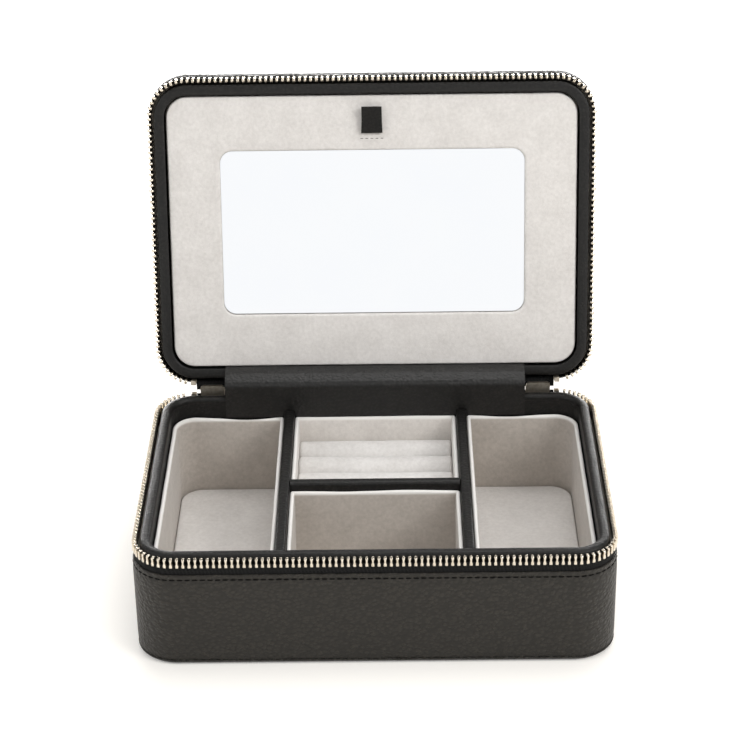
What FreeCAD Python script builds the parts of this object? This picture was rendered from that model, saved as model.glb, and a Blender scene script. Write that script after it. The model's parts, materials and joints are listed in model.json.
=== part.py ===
import FreeCAD
import Part
import Sketcher
import math
import os
import re

# Travel jewelry box: a zip-round case in leather over board, shown with its lid standing open.
# Millimetres and degrees. X runs along the front, Y to the back, Z up from the table.
# The lid's pieces are drawn closed and then turned open about the hinge line.

SIZES = {
    # The case as a whole
    "case_width": 200.0,
    "case_depth": 141.0,
    "zip_height": 52.0,
    "lid_height": 18.0,
    "corner_radius": 18.0,
    "open_angle": 103.0,
    "hinge_back": 0.5,
    "hinge_rise": 2.5,
    # Layers of a wall, from the outside in
    "leather": 0.9,
    "tape": 0.6,
    "wall_board": 1.7,
    "glue_gap": 0.1,
    "collar_leather": 1.0,
    "collar_board": 2.5,
    # Heights measured from the zip plane
    "leather_drop": 7.6,
    "lip_drop": 0.7,
    "board_setback": 1.0,
    "tape_edge_drop": 3.0,
    "sewn_width": 8.0,
    "divider_drop": 6.0,
    "liner_drop": 9.5,
    "roll_drop": 18.7,
    # Bottom and top
    "cover_panel": 2.4,
    "cover_round": 1.0,
    "floor_board": 1.4,
    "lip_round": 1.5,
    # Dividers and trays
    "divider_thickness": 4.7,
    "divider_leather": 0.9,
    "divider_round": 0.8,
    "centre_tray_width": 73.7,
    "cross_divider_back": 0.2,
    "liner": 1.7,
    "liner_gap": 0.2,
    "floor_pad": 1.6,
    "pad_gap": 0.3,
    "pad_round": 0.9,
    "roll_count": 4,
    "roll_height": 16.0,
    "roll_gap": 0.25,
    # Zip chain
    "tooth_pitch": 2.48,
    "tooth_length": 4.5,
    "tooth_thickness": 2.0,
    "tooth_lap": 0.2,
    "mesh_gap": 0.2,
    "clamp_gap": 0.05,
    "stop_length": 2.2,
    # Sliders and pulls
    "slider_length": 11.0,
    "slider_height": 7.6,
    "slider_top": 2.4,
    "slider_plate": 0.8,
    "slider_channel": 2.4,
    "slider_slot": 1.3,
    "slider_stand_off": 0.15,
    "slider_round": 1.6,
    "slider_park": 0.5,
    "slider_run": 1.8,
    "post_length": 4.0,
    "post_height": 1.6,
    "post_gap": 0.3,
    "rod_radius": 0.7,
    "rod_span": 5.4,
    "crown_post": 1.3,
    "eye_radius": 1.7,
    "eye_gap": 0.08,
    "eye_side_gap": 0.4,
    "eye_clear": 0.3,
    "pull_length": 26.0,
    "pull_width": 7.0,
    "pull_thickness": 1.4,
    "pull_round": 3.0,
    # Leather hinge
    "flap": 0.7,
    "flap_gap": 0.05,
    "flap_tuck": 6.0,
    "spine_setback": 0.2,
    "spine_bend": 5.7,
    "tail_gap": 0.5,
    "tail_bend": 0.6,
    "tail_top_bend": 2.0,
    "tail_rise": 0.3,
    "tail_step": 2.0,
    # Mirror panel in the lid
    "panel_gap": 0.9,
    "panel_setback": 1.5,
    "panel_face": 2.8,
    "panel_board": 1.8,
    "panel_round": 1.2,
    "panel_hinge": 0.5,
    "panel_hinge_width": 10.0,
    "mirror_width": 136.0,
    "mirror_depth": 74.6,
    "mirror_radius": 5.5,
    "mirror_glass": 2.0,
    "mirror_gap": 0.2,
    "frame_width": 4.2,
    "lining": 0.8,
    # Pull tab on the panel
    "tab_width": 9.0,
    "tab_length": 12.5,
    "tab_thickness": 2.4,
    "tab_root": 1.4,
    "tab_setback": 16.8,
    "tab_tilt": 8.0,
    "tab_stand_off": 0.1,
    # Every cut runs past its piece by this much
    "overrun": 1.0,
}

PLACES = {
    "half_width": "case_width / 2",
    "half_depth": "case_depth / 2",
    "board_inset": "leather + tape",
    "board_inner": "board_inset + wall_board",
    "collar_inset": "board_inner + glue_gap",
    "core_inset": "collar_inset + collar_leather",
    "core_inner": "core_inset + collar_board",
    "collar_inner": "core_inner + collar_leather",
    "liner_inset": "collar_inner + liner_gap",
    "liner_inner": "liner_inset + liner",
    "inside_floor": "cover_panel + floor_board",
    "leather_top": "zip_height - leather_drop",
    "lip_top": "zip_height - lip_drop",
    "divider_top": "zip_height - divider_drop",
    "liner_top": "zip_height - liner_drop",
    "tape_top": "zip_height - tape_edge_drop",
    "tape_foot": "leather_top - sewn_width",
    "roll_top": "zip_height - roll_drop",
    "riser_top": "roll_top - roll_height",
    "lid_top": "zip_height + lid_height",
    "lid_board_top": "lid_top - cover_panel",
    "lid_ceiling": "lid_board_top - floor_board",
    "lid_leather_edge": "zip_height + leather_drop",
    "lid_lip": "zip_height + lip_drop",
    "panel_front": "lid_lip + panel_setback",
    "panel_back": "panel_front + panel_face + panel_board",
    "frame_front": "panel_back + panel_hinge",
    "lining_front": "lid_ceiling - lining",
    "panel_inset": "collar_inner + panel_gap",
    "divider_inner": "centre_tray_width / 2",
    "divider_outer": "divider_inner + divider_thickness",
    "cross_front": "cross_divider_back - divider_thickness / 2",
    "cross_back": "cross_divider_back + divider_thickness / 2",
    "tray_front": "liner_inset - half_depth",
    "tray_back": "half_depth - liner_inset",
    "divider_back_end": "half_depth - collar_inner - flap_gap - flap - liner_gap",
    "chain_end": "half_width - corner_radius",
    "tooth_width": "tooth_pitch / 2 - mesh_gap",
    "hinge_y": "half_depth + hinge_back",
    "hinge_z": "zip_height + hinge_rise",
    "slider_inner": "half_depth + slider_stand_off",
    "channel_inner": "slider_inner + slider_plate",
    "channel_middle": "channel_inner + slider_channel / 2",
    "channel_outer": "channel_inner + slider_channel",
    "slider_outer": "channel_outer + slider_plate",
    "slider_upper": "zip_height + slider_top",
    "slider_lower": "slider_upper - slider_height",
    "slider_middle": "(slider_upper + slider_lower) / 2",
    "flap_half": "chain_end - slider_run - slider_length - slider_park - tail_gap",
    "spine_half": "flap_half - spine_setback",
    "slider_near": "flap_half + tail_gap + slider_park",
    "slider_centre": "slider_near + slider_length / 2",
    "rod_y": "slider_outer + eye_clear + eye_radius",
}

V = FreeCAD.Vector
doc = FreeCAD.newDocument("travel_jewelry_box")
sheet = doc.addObject("Spreadsheet::Sheet", "Sizes")
for row, (alias, number) in enumerate(SIZES.items(), 1):
    sheet.set(f"A{row}", alias.replace("_", " "))
    sheet.set(f"B{row}", str(number))
    sheet.setAlias(f"B{row}", alias)
doc.recompute()

pieces = {}


def in_sizes(expression):
    """Writes a place out in the sheet's own sizes."""
    def swap(match):
        word = match.group()
        return f"({in_sizes(PLACES[word])})" if word in PLACES else word
    return re.sub(r"[a-z_]+", swap, expression)


def tied(expression):
    """The expression that binds a property to the sheet."""
    return re.sub(r"[a-z_]+", lambda match: "Sizes." + match.group(), in_sizes(expression))


def value(expression):
    return float(sheet.evalExpression(in_sizes(expression)))


def keep(label, piece):
    piece.Label = label
    pieces[label] = piece
    return piece


def new_body(label):
    return doc.addObject("PartDesign::Body", label)


def new_sketch(body, name, role, offset):
    """An empty sketch on one of the body's origin planes, moved along the plane's normal."""
    plane = next(item for item in body.Origin.OriginFeatures if item.Role == role)
    sketch = body.newObject("Sketcher::SketchObject", name)
    sketch.AttachmentSupport = [(plane, "")]
    sketch.MapMode = "FlatFace"
    sketch.setExpression("AttachmentOffset.Base.z", tied(offset))
    return sketch


def bind(sketch, name, constraint, expression):
    index = sketch.addConstraint(constraint)
    sketch.renameConstraint(index, name)
    sketch.setExpression(f"Constraints.{name}", tied(expression))


def draw_loop(sketch, tag, width, depth, radius):
    """A rounded rectangle about the sketch's origin."""
    x, y, r = value(width) / 2, value(depth) / 2, value(radius)
    corners = [(x - r, y - r, 0), (r - x, y - r, 1), (r - x, r - y, 2), (x - r, r - y, 3)]
    arcs = []
    for cx, cy, quarter in corners:
        circle = Part.Circle(V(cx, cy, 0), V(0, 0, 1), r)
        turn = quarter * math.pi / 2
        arcs.append(sketch.addGeometry(Part.ArcOfCircle(circle, turn, turn + math.pi / 2), False))
    lines = []
    for place, arc in enumerate(arcs):
        start = sketch.getPoint(arc, 2)
        end = sketch.getPoint(arcs[(place + 1) % 4], 1)
        lines.append(sketch.addGeometry(Part.LineSegment(start, end), False))
    for place, line in enumerate(lines):
        sketch.addConstraint(Sketcher.Constraint("Tangent", arcs[place], 2, line, 1))
        sketch.addConstraint(Sketcher.Constraint("Tangent", line, 2, arcs[(place + 1) % 4], 1))
        sketch.addConstraint(Sketcher.Constraint("Vertical" if place % 2 else "Horizontal", line))
    for arc in arcs[1:]:
        sketch.addConstraint(Sketcher.Constraint("Equal", arcs[0], arc))
    sketch.addConstraint(Sketcher.Constraint("Symmetric", arcs[0], 3, arcs[2], 3, -1, 1))
    right, left, top, bottom = lines[3], lines[1], lines[0], lines[2]
    bind(sketch, tag + "Width", Sketcher.Constraint("DistanceX", left, 1, right, 1, 2 * x), width)
    bind(sketch, tag + "Depth", Sketcher.Constraint("DistanceY", bottom, 1, top, 1, 2 * y), depth)
    bind(sketch, tag + "Radius", Sketcher.Constraint("Radius", arcs[0], r), radius)


def draw_inset(sketch, tag, inset):
    """The case's outline, drawn in by an inset."""
    draw_loop(sketch, tag, f"case_width - 2 * ({inset})", f"case_depth - 2 * ({inset})",
              f"corner_radius - ({inset})")


def draw_rectangle(sketch, tag, low_x, high_x, low_y, high_y):
    x0, x1, y0, y1 = (value(item) for item in (low_x, high_x, low_y, high_y))
    corners = [V(x0, y0, 0), V(x1, y0, 0), V(x1, y1, 0), V(x0, y1, 0)]
    lines = [sketch.addGeometry(Part.LineSegment(corner, corners[(place + 1) % 4]), False)
             for place, corner in enumerate(corners)]
    for place, line in enumerate(lines):
        sketch.addConstraint(Sketcher.Constraint("Coincident", line, 2, lines[(place + 1) % 4], 1))
        sketch.addConstraint(Sketcher.Constraint("Vertical" if place % 2 else "Horizontal", line))
    bind(sketch, tag + "LowX", Sketcher.Constraint("DistanceX", -1, 1, lines[0], 1, x0), low_x)
    bind(sketch, tag + "LowY", Sketcher.Constraint("DistanceY", -1, 1, lines[0], 1, y0), low_y)
    bind(sketch, tag + "HighX", Sketcher.Constraint("DistanceX", -1, 1, lines[2], 1, x1), high_x)
    bind(sketch, tag + "HighY", Sketcher.Constraint("DistanceY", -1, 1, lines[2], 1, y1), high_y)


def add_pad(body, sketch, length, middle=False):
    pad = body.newObject("PartDesign::Pad", sketch.Name + "Pad")
    pad.Profile = sketch
    pad.setExpression("Length", tied(length))
    pad.Midplane = middle
    return pad


def add_pocket(body, sketch, length, middle=False):
    """Cuts along the sketch's normal, or both ways from its plane."""
    pocket = body.newObject("PartDesign::Pocket", sketch.Name + "Pocket")
    pocket.Profile = sketch
    pocket.Reversed = not middle
    pocket.setExpression("Length", tied(length))
    pocket.Midplane = middle
    return pocket


def add_ring(body, tag, outer, inner, low, high, build=add_pad):
    """A wall that follows the case's outline between two insets."""
    sketch = new_sketch(body, body.Name + tag, "XY_Plane", low)
    draw_inset(sketch, "Outer", outer)
    draw_inset(sketch, "Inner", inner)
    return build(body, sketch, f"({high}) - ({low})")


def add_slab(body, tag, inset, low, high, build=add_pad):
    """A plate, or a cut, of the case's outline at an inset."""
    sketch = new_sketch(body, body.Name + tag, "XY_Plane", low)
    draw_inset(sketch, "Outer", inset)
    return build(body, sketch, f"({high}) - ({low})")


def round_rim(body, feature, height, radius):
    """Rounds every edge of a feature that lies at one height."""
    doc.recompute()
    level, near = value(height), value(radius) / 2
    rim = [f"Edge{number}" for number, edge in enumerate(feature.Shape.Edges, 1)
           if all(abs(vertex.Z - level) < near for vertex in edge.Vertexes)]
    fillet = body.newObject("PartDesign::Fillet", body.Name + "Rim")
    fillet.Base = (feature, rim)
    fillet.setExpression("Radius", tied(radius))
    return fillet


def ring_piece(label, outer, inner, low, high):
    body = new_body(label)
    add_ring(body, "Wall", outer, inner, low, high)
    return keep(label, body)


def slab_piece(label, inset, low, high):
    body = new_body(label)
    add_slab(body, "Plate", inset, low, high)
    return keep(label, body)


def make_box(name, low, high):
    """A box between two corners, each written as three places."""
    box = doc.addObject("Part::Box", name)
    for side, axis, start, end in zip(("Length", "Width", "Height"), "xyz", low, high):
        box.setExpression(side, tied(f"({end}) - ({start})"))
        box.setExpression(f"Placement.Base.{axis}", tied(start))
    return box


def make_cylinder(name, radius, length, start):
    """A cylinder that runs along +X from a place."""
    cylinder = doc.addObject("Part::Cylinder", name)
    cylinder.setExpression("Radius", tied(radius))
    cylinder.setExpression("Height", tied(length))
    cylinder.Placement = FreeCAD.Placement(V(0, 0, 0), FreeCAD.Rotation(V(0, 1, 0), 90))
    for axis, place in zip("xyz", start):
        cylinder.setExpression(f"Placement.Base.{axis}", tied(place))
    return cylinder


def make_cut(name, base, tool):
    result = doc.addObject("Part::Cut", name)
    result.Base = base
    result.Tool = tool
    return result


def make_fuse(name, shapes):
    result = doc.addObject("Part::MultiFuse", name)
    result.Shapes = shapes
    result.Refine = True
    return result


def either_side(side, near, far):
    """The low and high X of something that spans near to far on one side of the middle."""
    return (near, far) if side > 0 else (f"-({far})", f"-({near})")


def open_lid(y, z):
    """Where a point of the closed lid stands once the lid is open, in the YZ plane."""
    turn = -math.radians(value("open_angle"))
    dy, dz = y - value("hinge_y"), z - value("hinge_z")
    return (value("hinge_y") + dy * math.cos(turn) - dz * math.sin(turn),
            value("hinge_z") + dy * math.sin(turn) + dz * math.cos(turn))


def swing_open(piece):
    """Turns a piece drawn in the closed lid to its open place."""
    hinge = V(0, value("hinge_y"), value("hinge_z"))
    turn = FreeCAD.Rotation(V(1, 0, 0), -value("open_angle"))
    piece.Placement = FreeCAD.Placement(V(0, 0, 0), turn, hinge).multiply(piece.Placement)
    return piece


# Base: board tray, leather and collar
def make_base():
    body = new_body("base_bottom")
    plate = add_slab(body, "Plate", "0", "0", "cover_panel")
    round_rim(body, plate, "0", "cover_round")
    keep("base_bottom", body)

    body = new_body("base_shell")
    add_slab(body, "Block", "board_inset", "cover_panel", "leather_top - board_setback")
    add_slab(body, "Room", "board_inner", "inside_floor", "leather_top + overrun", add_pocket)
    keep("base_shell", body)

    ring_piece("base_wadding", "leather", "board_inset", "cover_panel", "tape_foot")
    ring_piece("base_side_leather", "0", "leather", "cover_panel", "leather_top")
    ring_piece("base_collar_board", "core_inset", "core_inner", "inside_floor", "lip_top - collar_leather")

    body = new_body("base_collar_leather")
    wall = add_ring(body, "Wall", "collar_inset", "collar_inner", "inside_floor", "lip_top")
    round_rim(body, wall, "lip_top", "lip_round")
    add_ring(body, "Slot", "core_inset", "core_inner", "inside_floor", "lip_top - collar_leather",
             add_pocket)
    keep("base_collar_leather", body)


# Lid: the same layers, drawn closed above the zip plane
def make_lid():
    body = new_body("lid_top_panel")
    plate = add_slab(body, "Plate", "0", "lid_board_top", "lid_top")
    round_rim(body, plate, "lid_top", "cover_round")
    keep("lid_top_panel", body)

    body = new_body("lid_shell")
    low = "lid_leather_edge + board_setback"
    add_slab(body, "Block", "board_inset", low, "lid_board_top")
    add_slab(body, "Room", "board_inner", low, "lid_ceiling", add_pocket)
    keep("lid_shell", body)

    ring_piece("lid_side_leather", "0", "leather", "lid_leather_edge", "lid_board_top")
    ring_piece("lid_collar_board", "core_inset", "core_inner", "lid_lip + collar_leather", "lid_ceiling")

    body = new_body("lid_collar_leather")
    wall = add_ring(body, "Wall", "collar_inset", "collar_inner", "lid_lip", "lid_ceiling")
    round_rim(body, wall, "lid_lip", "lip_round")
    add_ring(body, "Slot", "core_inset", "core_inner", "lid_lip + collar_leather", "lid_ceiling",
             add_pocket)
    keep("lid_collar_leather", body)

    slab_piece("lid_lining", "liner_inset", "lining_front", "lid_ceiling")
    ring_piece("lid_inner_frame", "liner_inset", "liner_inset + frame_width", "frame_front", "lining_front")
    slab_piece("panel_board", "panel_inset", "panel_front + panel_face", "panel_back")

    body = new_body("panel_suede")
    face = add_slab(body, "Face", "panel_inset", "panel_front", "panel_front + panel_face")
    round_rim(body, face, "panel_front", "panel_round")
    window = new_sketch(body, "panel_suedeWindow", "XY_Plane", "panel_front - overrun")
    draw_loop(window, "Window", "mirror_width + 2 * mirror_gap", "mirror_depth + 2 * mirror_gap",
              "mirror_radius + mirror_gap")
    add_pocket(body, window, "panel_face + 2 * overrun")
    keep("panel_suede", body)

    body = new_body("mirror_glass")
    sketch = new_sketch(body, "mirror_glassPlate", "XY_Plane", "panel_front + panel_face - mirror_glass")
    draw_loop(sketch, "Glass", "mirror_width", "mirror_depth", "mirror_radius")
    add_pad(body, sketch, "mirror_glass")
    keep("mirror_glass", body)

    body = new_body("panel_hinge_strip")
    strip = new_sketch(body, "panel_hinge_stripPlan", "XY_Plane", "panel_back")
    draw_rectangle(strip, "Strip", "-flap_half", "flap_half",
                   "half_depth - panel_inset - panel_hinge_width", "half_depth - panel_inset")
    add_pad(body, strip, "panel_hinge")
    keep("panel_hinge_strip", body)


def make_pull_tab():
    """A folded leather tab, sewn at its root and a little clear of the panel at its fold."""
    fold = value("tab_thickness") / 2
    root = value("tab_root") / 2
    length = value("tab_length")
    middle = length - fold
    back = -fold
    heel = V(0, 0, back - root)
    toe = V(0, 0, back + root)
    upper = V(0, -middle, 0)
    lower = V(0, -middle, 2 * back)
    tip = V(0, -length, back)
    outline = Part.Wire([Part.LineSegment(heel, toe).toShape(),
                         Part.LineSegment(toe, upper).toShape(),
                         Part.Arc(upper, tip, lower).toShape(),
                         Part.LineSegment(lower, heel).toShape()])
    solid = Part.Face(outline).extrude(V(value("tab_width"), 0, 0))
    tab = doc.addObject("Part::Feature", "pull_tab")
    tab.Shape = solid
    root_y = value("panel_inset - half_depth + tab_setback")
    root_z = value("panel_front") - value("tab_stand_off")
    tab.Placement = FreeCAD.Placement(V(-value("tab_width") / 2, root_y, root_z),
                                      FreeCAD.Rotation(V(1, 0, 0), value("tab_tilt")))
    keep("pull_tab", tab)


# Trays: dividers, suede liners, floor pads and ring rolls
def make_divider(label, low, high, along):
    """A board in a leather wrap that is open underneath; along is the axis that it runs on."""
    across = 1 - along
    inner_low, inner_high = list(low), list(high)
    inner_low[across] = f"{low[across]} + divider_leather"
    inner_high[across] = f"{high[across]} - divider_leather"
    inner_high[2] = f"{high[2]} - divider_leather"
    keep(label + "_board", make_box(label + "_board", inner_low, inner_high))

    body = new_body(label)
    sketch = new_sketch(body, label + "Plan", "XY_Plane", low[2])
    draw_rectangle(sketch, "Wrap", low[0], high[0], low[1], high[1])
    wrap = add_pad(body, sketch, f"{high[2]} - ({low[2]})")
    round_rim(body, wrap, high[2], "divider_round")
    slot = new_sketch(body, label + "Slot", "XY_Plane", low[2])
    draw_rectangle(slot, "Core", inner_low[0], inner_high[0], inner_low[1], inner_high[1])
    add_pocket(body, slot, f"{inner_high[2]} - ({low[2]})")
    keep(label, body)


def make_dividers():
    front = "collar_inner + glue_gap - half_depth"
    for label, side in (("left_divider", -1), ("right_divider", 1)):
        low_x, high_x = either_side(side, "divider_inner", "divider_outer")
        make_divider(label, (low_x, front, "inside_floor"),
                     (high_x, "divider_back_end", "divider_top"), 1)
    reach = "divider_inner - glue_gap"
    make_divider("cross_divider", (f"-({reach})", "cross_front", "inside_floor"),
                 (reach, "cross_back", "divider_top"), 0)


def make_side_trays():
    wall_near = "divider_outer + liner_gap"
    wall_far = f"{wall_near} + liner"
    pad_near = f"{wall_far} + pad_gap"
    for name, side in (("left", -1), ("right", 1)):
        beyond = either_side(side, f"{wall_near} - case_width", wall_near)
        loop = new_body(f"{name}_liner_loop")
        add_ring(loop, "Wall", "liner_inset", "liner_inner", "inside_floor", "liner_top")
        clear = make_box(f"{name}_liner_clear", (beyond[0], "-case_depth", "0"),
                         (beyond[1], "case_depth", "lid_top"))
        outside = make_cut(f"{name}_liner_outside", loop, clear)
        wall_x = either_side(side, wall_near, wall_far)
        wall = make_box(f"{name}_liner_wall", (wall_x[0], "tray_front", "inside_floor"),
                        (wall_x[1], "tray_back", "liner_top"))
        keep(f"{name}_liner", make_fuse(f"{name}_liner", [outside, wall]))

        pad = new_body(f"{name}_floor_pad")
        add_slab(pad, "Plate", "liner_inner + pad_gap", "inside_floor", "inside_floor + floor_pad")
        beyond = either_side(side, f"{pad_near} - case_width", pad_near)
        clear = new_sketch(pad, f"{name}PadClear", "XY_Plane", "inside_floor - overrun")
        draw_rectangle(clear, "Clear", beyond[0], beyond[1], "-case_depth", "case_depth")
        cut = add_pocket(pad, clear, "floor_pad + 2 * overrun")
        round_rim(pad, cut, "inside_floor + floor_pad", "pad_round")
        keep(f"{name}_floor_pad", pad)


def make_box_liner(label, front, back):
    """Four suede walls round a tray between the long dividers."""
    reach = "divider_inner - liner_gap"
    outside = make_box(label + "_outside", (f"-({reach})", front, "inside_floor"),
                       (reach, back, "liner_top"))
    room = make_box(label + "_room", (f"liner - ({reach})", f"{front} + liner", "inside_floor - overrun"),
                    (f"{reach} - liner", f"{back} - liner", "liner_top + overrun"))
    return keep(label, make_cut(label, outside, room))


def make_centre_trays():
    front_tray_back = "cross_front - liner_gap"
    make_box_liner("front_liner", "tray_front", front_tray_back)
    reach = "divider_inner - liner_gap - liner - pad_gap"
    pad = new_body("front_floor_pad")
    plan = new_sketch(pad, "FrontPadPlan", "XY_Plane", "inside_floor")
    draw_rectangle(plan, "Pad", f"-({reach})", reach, "tray_front + liner + pad_gap",
                   f"{front_tray_back} - liner - pad_gap")
    cushion = add_pad(pad, plan, "floor_pad")
    round_rim(pad, cushion, "inside_floor + floor_pad", "pad_round")
    keep("front_floor_pad", pad)

    ring_front = "cross_back + liner_gap"
    make_box_liner("ring_liner", ring_front, "tray_back")
    room_front = f"{ring_front} + liner"
    room_depth = f"(tray_back - liner - ({room_front}))"
    keep("ring_riser", make_box(
        "ring_riser", (f"-({reach})", f"{room_front} + pad_gap", "inside_floor"),
        (reach, "tray_back - liner - pad_gap", "riser_top")))
    for number in range(1, int(value("roll_count")) + 1):
        share = (number - 1) / value("roll_count")
        make_roll(f"ring_roll_{number}", f"{room_front} + {room_depth} * {share} + roll_gap",
                  f"{room_depth} / roll_count - 2 * roll_gap", reach)


def make_roll(label, front, width, reach):
    """A foam roll with straight sides and a round crown, lying along X on the riser."""
    y0, breadth = value(front), value(width)
    y1, radius = y0 + breadth, breadth / 2
    foot, crown = value("riser_top"), value("roll_top")
    body = new_body(label)
    sketch = new_sketch(body, label + "Section", "YZ_Plane", "0")
    corners = [V(y0, crown - radius, 0), V(y0, foot, 0), V(y1, foot, 0), V(y1, crown - radius, 0)]
    lines = [sketch.addGeometry(Part.LineSegment(start, end), False)
             for start, end in zip(corners, corners[1:])]
    circle = Part.Circle(V(y0 + radius, crown - radius, 0), V(0, 0, 1), radius)
    arc = sketch.addGeometry(Part.ArcOfCircle(circle, 0, math.pi), False)
    for first, second in zip(lines, lines[1:]):
        sketch.addConstraint(Sketcher.Constraint("Coincident", first, 2, second, 1))
    sketch.addConstraint(Sketcher.Constraint("Tangent", lines[2], 2, arc, 1))
    sketch.addConstraint(Sketcher.Constraint("Tangent", arc, 2, lines[0], 1))
    for line, kind in zip(lines, ("Vertical", "Horizontal", "Vertical")):
        sketch.addConstraint(Sketcher.Constraint(kind, line))
    bind(sketch, "Front", Sketcher.Constraint("DistanceX", -1, 1, lines[1], 1, y0), front)
    bind(sketch, "Foot", Sketcher.Constraint("DistanceY", -1, 1, lines[1], 1, foot), "riser_top")
    bind(sketch, "Breadth", Sketcher.Constraint("DistanceX", lines[1], 1, lines[1], 2, breadth), width)
    bind(sketch, "Crown", Sketcher.Constraint("DistanceY", -1, 1, arc, 3, crown - radius),
         f"roll_top - ({width}) / 2")
    add_pad(body, sketch, f"2 * ({reach})", middle=True)
    keep(label, body)


# Zip: tapes, teeth, stops, tails, sliders and pulls
def make_tape(label, low, high):
    body = new_body(label)
    add_ring(body, "Band", "leather", "board_inset", low, high)
    gap = new_sketch(body, label + "Gap", "XY_Plane", f"{low} - overrun")
    draw_rectangle(gap, "Gap", "-chain_end", "chain_end", "half_depth - corner_radius", "half_depth")
    add_pocket(body, gap, f"{high} - ({low}) + 2 * overrun")
    return keep(label, body)


def chain_place(distance):
    """Point and heading on the tape's middle line, from the right rear round the front to the left rear."""
    inset = value("leather + tape / 2")
    radius = value("corner_radius") - inset
    side = value("case_depth - 2 * corner_radius")
    front = value("case_width - 2 * corner_radius")
    bend = radius * math.pi / 2
    x, y = value("chain_end"), value("half_depth") - inset
    heading = 0.0
    for length, turns in ((bend, True), (side, False), (bend, True), (front, False),
                          (bend, True), (side, False), (bend, True)):
        step = min(distance, length)
        if turns:
            turn = step / radius
            x += radius * (math.sin(heading) - math.sin(heading - turn))
            y += radius * (math.cos(heading - turn) - math.cos(heading))
            heading -= turn
        else:
            x += step * math.cos(heading)
            y += step * math.sin(heading)
        distance -= step
        if distance <= 0:
            break
    return x, y, heading


def chain_length():
    bend = (value("corner_radius") - value("leather + tape / 2")) * math.pi / 2
    return 4 * bend + value("2 * (case_depth - 2 * corner_radius) + case_width - 2 * corner_radius")


def clamp(width, tip, foot, tape_edge, rounded):
    """A metal piece clamped over the tape's edge: along X, through Y, with its tip at one end in Z."""
    half = value("tooth_thickness") / 2
    grip = value("tape") / 2 + value("clamp_gap")
    up = 1 if tip > foot else -1
    shoulder = tip - up * width / 2 if rounded else tip
    corners = [V(-width / 2, -half, shoulder), V(-width / 2, -half, foot),
               V(width / 2, -half, foot), V(width / 2, -half, shoulder)]
    edges = [Part.LineSegment(start, end).toShape() for start, end in zip(corners, corners[1:])]
    if rounded:
        edges.append(Part.Arc(corners[3], V(0, -half, tip), corners[0]).toShape())
    else:
        edges.append(Part.LineSegment(corners[3], corners[0]).toShape())
    solid = Part.Face(Part.Wire(edges)).extrude(V(0, 2 * half, 0))
    slot_end = tape_edge + up * value("clamp_gap")
    run = value("overrun")
    low, high = sorted((foot - up * run, slot_end))
    slot = Part.makeBox(width + 2 * run, 2 * grip, high - low, V(-width / 2 - run, -grip, low))
    return solid.cut(slot)


def place_on_chain(solid, distance):
    x, y, heading = chain_place(distance)
    moved = solid.copy()
    moved.Placement = FreeCAD.Placement(V(x, y, 0), FreeCAD.Rotation(V(0, 0, 1), math.degrees(heading)))
    return moved


def make_group(label, solids):
    group = doc.addObject("Part::Feature", label)
    group.Shape = Part.makeCompound(solids)
    return keep(label, group)


def make_chain(name, up, tape_edge, shift_share):
    """One row of teeth and its two end stops; up is 1 on the base and -1 on the lid."""
    middle, lap = value("zip_height"), value("tooth_lap")
    tip = middle + up * lap
    foot = tip - up * value("tooth_length")
    tooth = clamp(value("tooth_width"), tip, foot, tape_edge, True)
    pitch, stop = value("tooth_pitch"), value("stop_length")
    total = chain_length()
    room = total - 2 * (stop + value("mesh_gap")) - pitch
    count = int(room / pitch)
    first = (total - (count - 1) * pitch) / 2 + shift_share * pitch
    make_group(f"{name}_zip_teeth", [place_on_chain(tooth, first + number * pitch)
                                     for number in range(count)])
    end = clamp(stop, middle - up * (lap + value("mesh_gap")), foot, tape_edge, False)
    make_group(f"{name}_zip_stops", [place_on_chain(end, stop / 2),
                                     place_on_chain(end, total - stop / 2)])


def strip_solid(points, bends, thickness, low_x, high_x):
    """A strip of even thickness along straight runs and tangent arcs in the YZ plane."""
    left, right = [], []
    count = len(points)
    for place, point in enumerate(points):
        before = points[max(place - 1, 0)]
        after = points[min(place + 1, count - 1)]
        head_in = point - before if place else after - point
        head_out = after - point if place < count - 1 else head_in
        start, end = head_in.normalize(), head_out.normalize()
        across = V(0, -start.z, start.y)
        if place in (0, count - 1):
            left.append([point + across * (thickness / 2)])
            right.append([point - across * (thickness / 2)])
            continue
        turn = math.atan2(start.y * end.z - start.z * end.y, start.dot(end))
        radius = bends[place - 1]
        reach = radius * math.tan(abs(turn) / 2)
        centre = point - start * reach + across * math.copysign(radius, turn)
        for side, row in ((1, left), (-1, right)):
            near = radius - math.copysign(thickness / 2, turn) * side
            spokes = [-math.copysign(1, turn) * V(0, -math.sin(angle), math.cos(angle))
                      for angle in (math.atan2(start.z, start.y) + turn * share for share in (0, 1 / 2, 1))]
            row.append([centre + spoke * near for spoke in spokes])
    edges = []
    for row in (left, right):
        spot = row[0][0]
        for mark in row[1:]:
            edges.append(Part.LineSegment(spot, mark[0]).toShape())
            if len(mark) == 3:
                edges.append(Part.Arc(*mark).toShape())
            spot = mark[-1]
    edges.append(Part.LineSegment(left[0][0], right[0][0]).toShape())
    edges.append(Part.LineSegment(left[-1][-1], right[-1][-1]).toShape())
    face = Part.Face(Part.Wire(Part.__sortEdges__(edges)))
    face.translate(V(low_x, 0, 0))
    return face.extrude(V(high_x - low_x, 0, 0))


def in_section(y, z):
    return V(0, y, z)


def in_lid_section(y, z):
    return V(0, *open_lid(y, z))


def meet(first, first_on, second, second_on):
    """Where two straight runs of a strip would cross."""
    a, b = first_on - first, second_on - second
    cross = a.y * b.z - a.z * b.y
    share = ((second.y - first.y) * b.z - (second.z - first.z) * b.y) / cross
    return first + a * share


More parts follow.
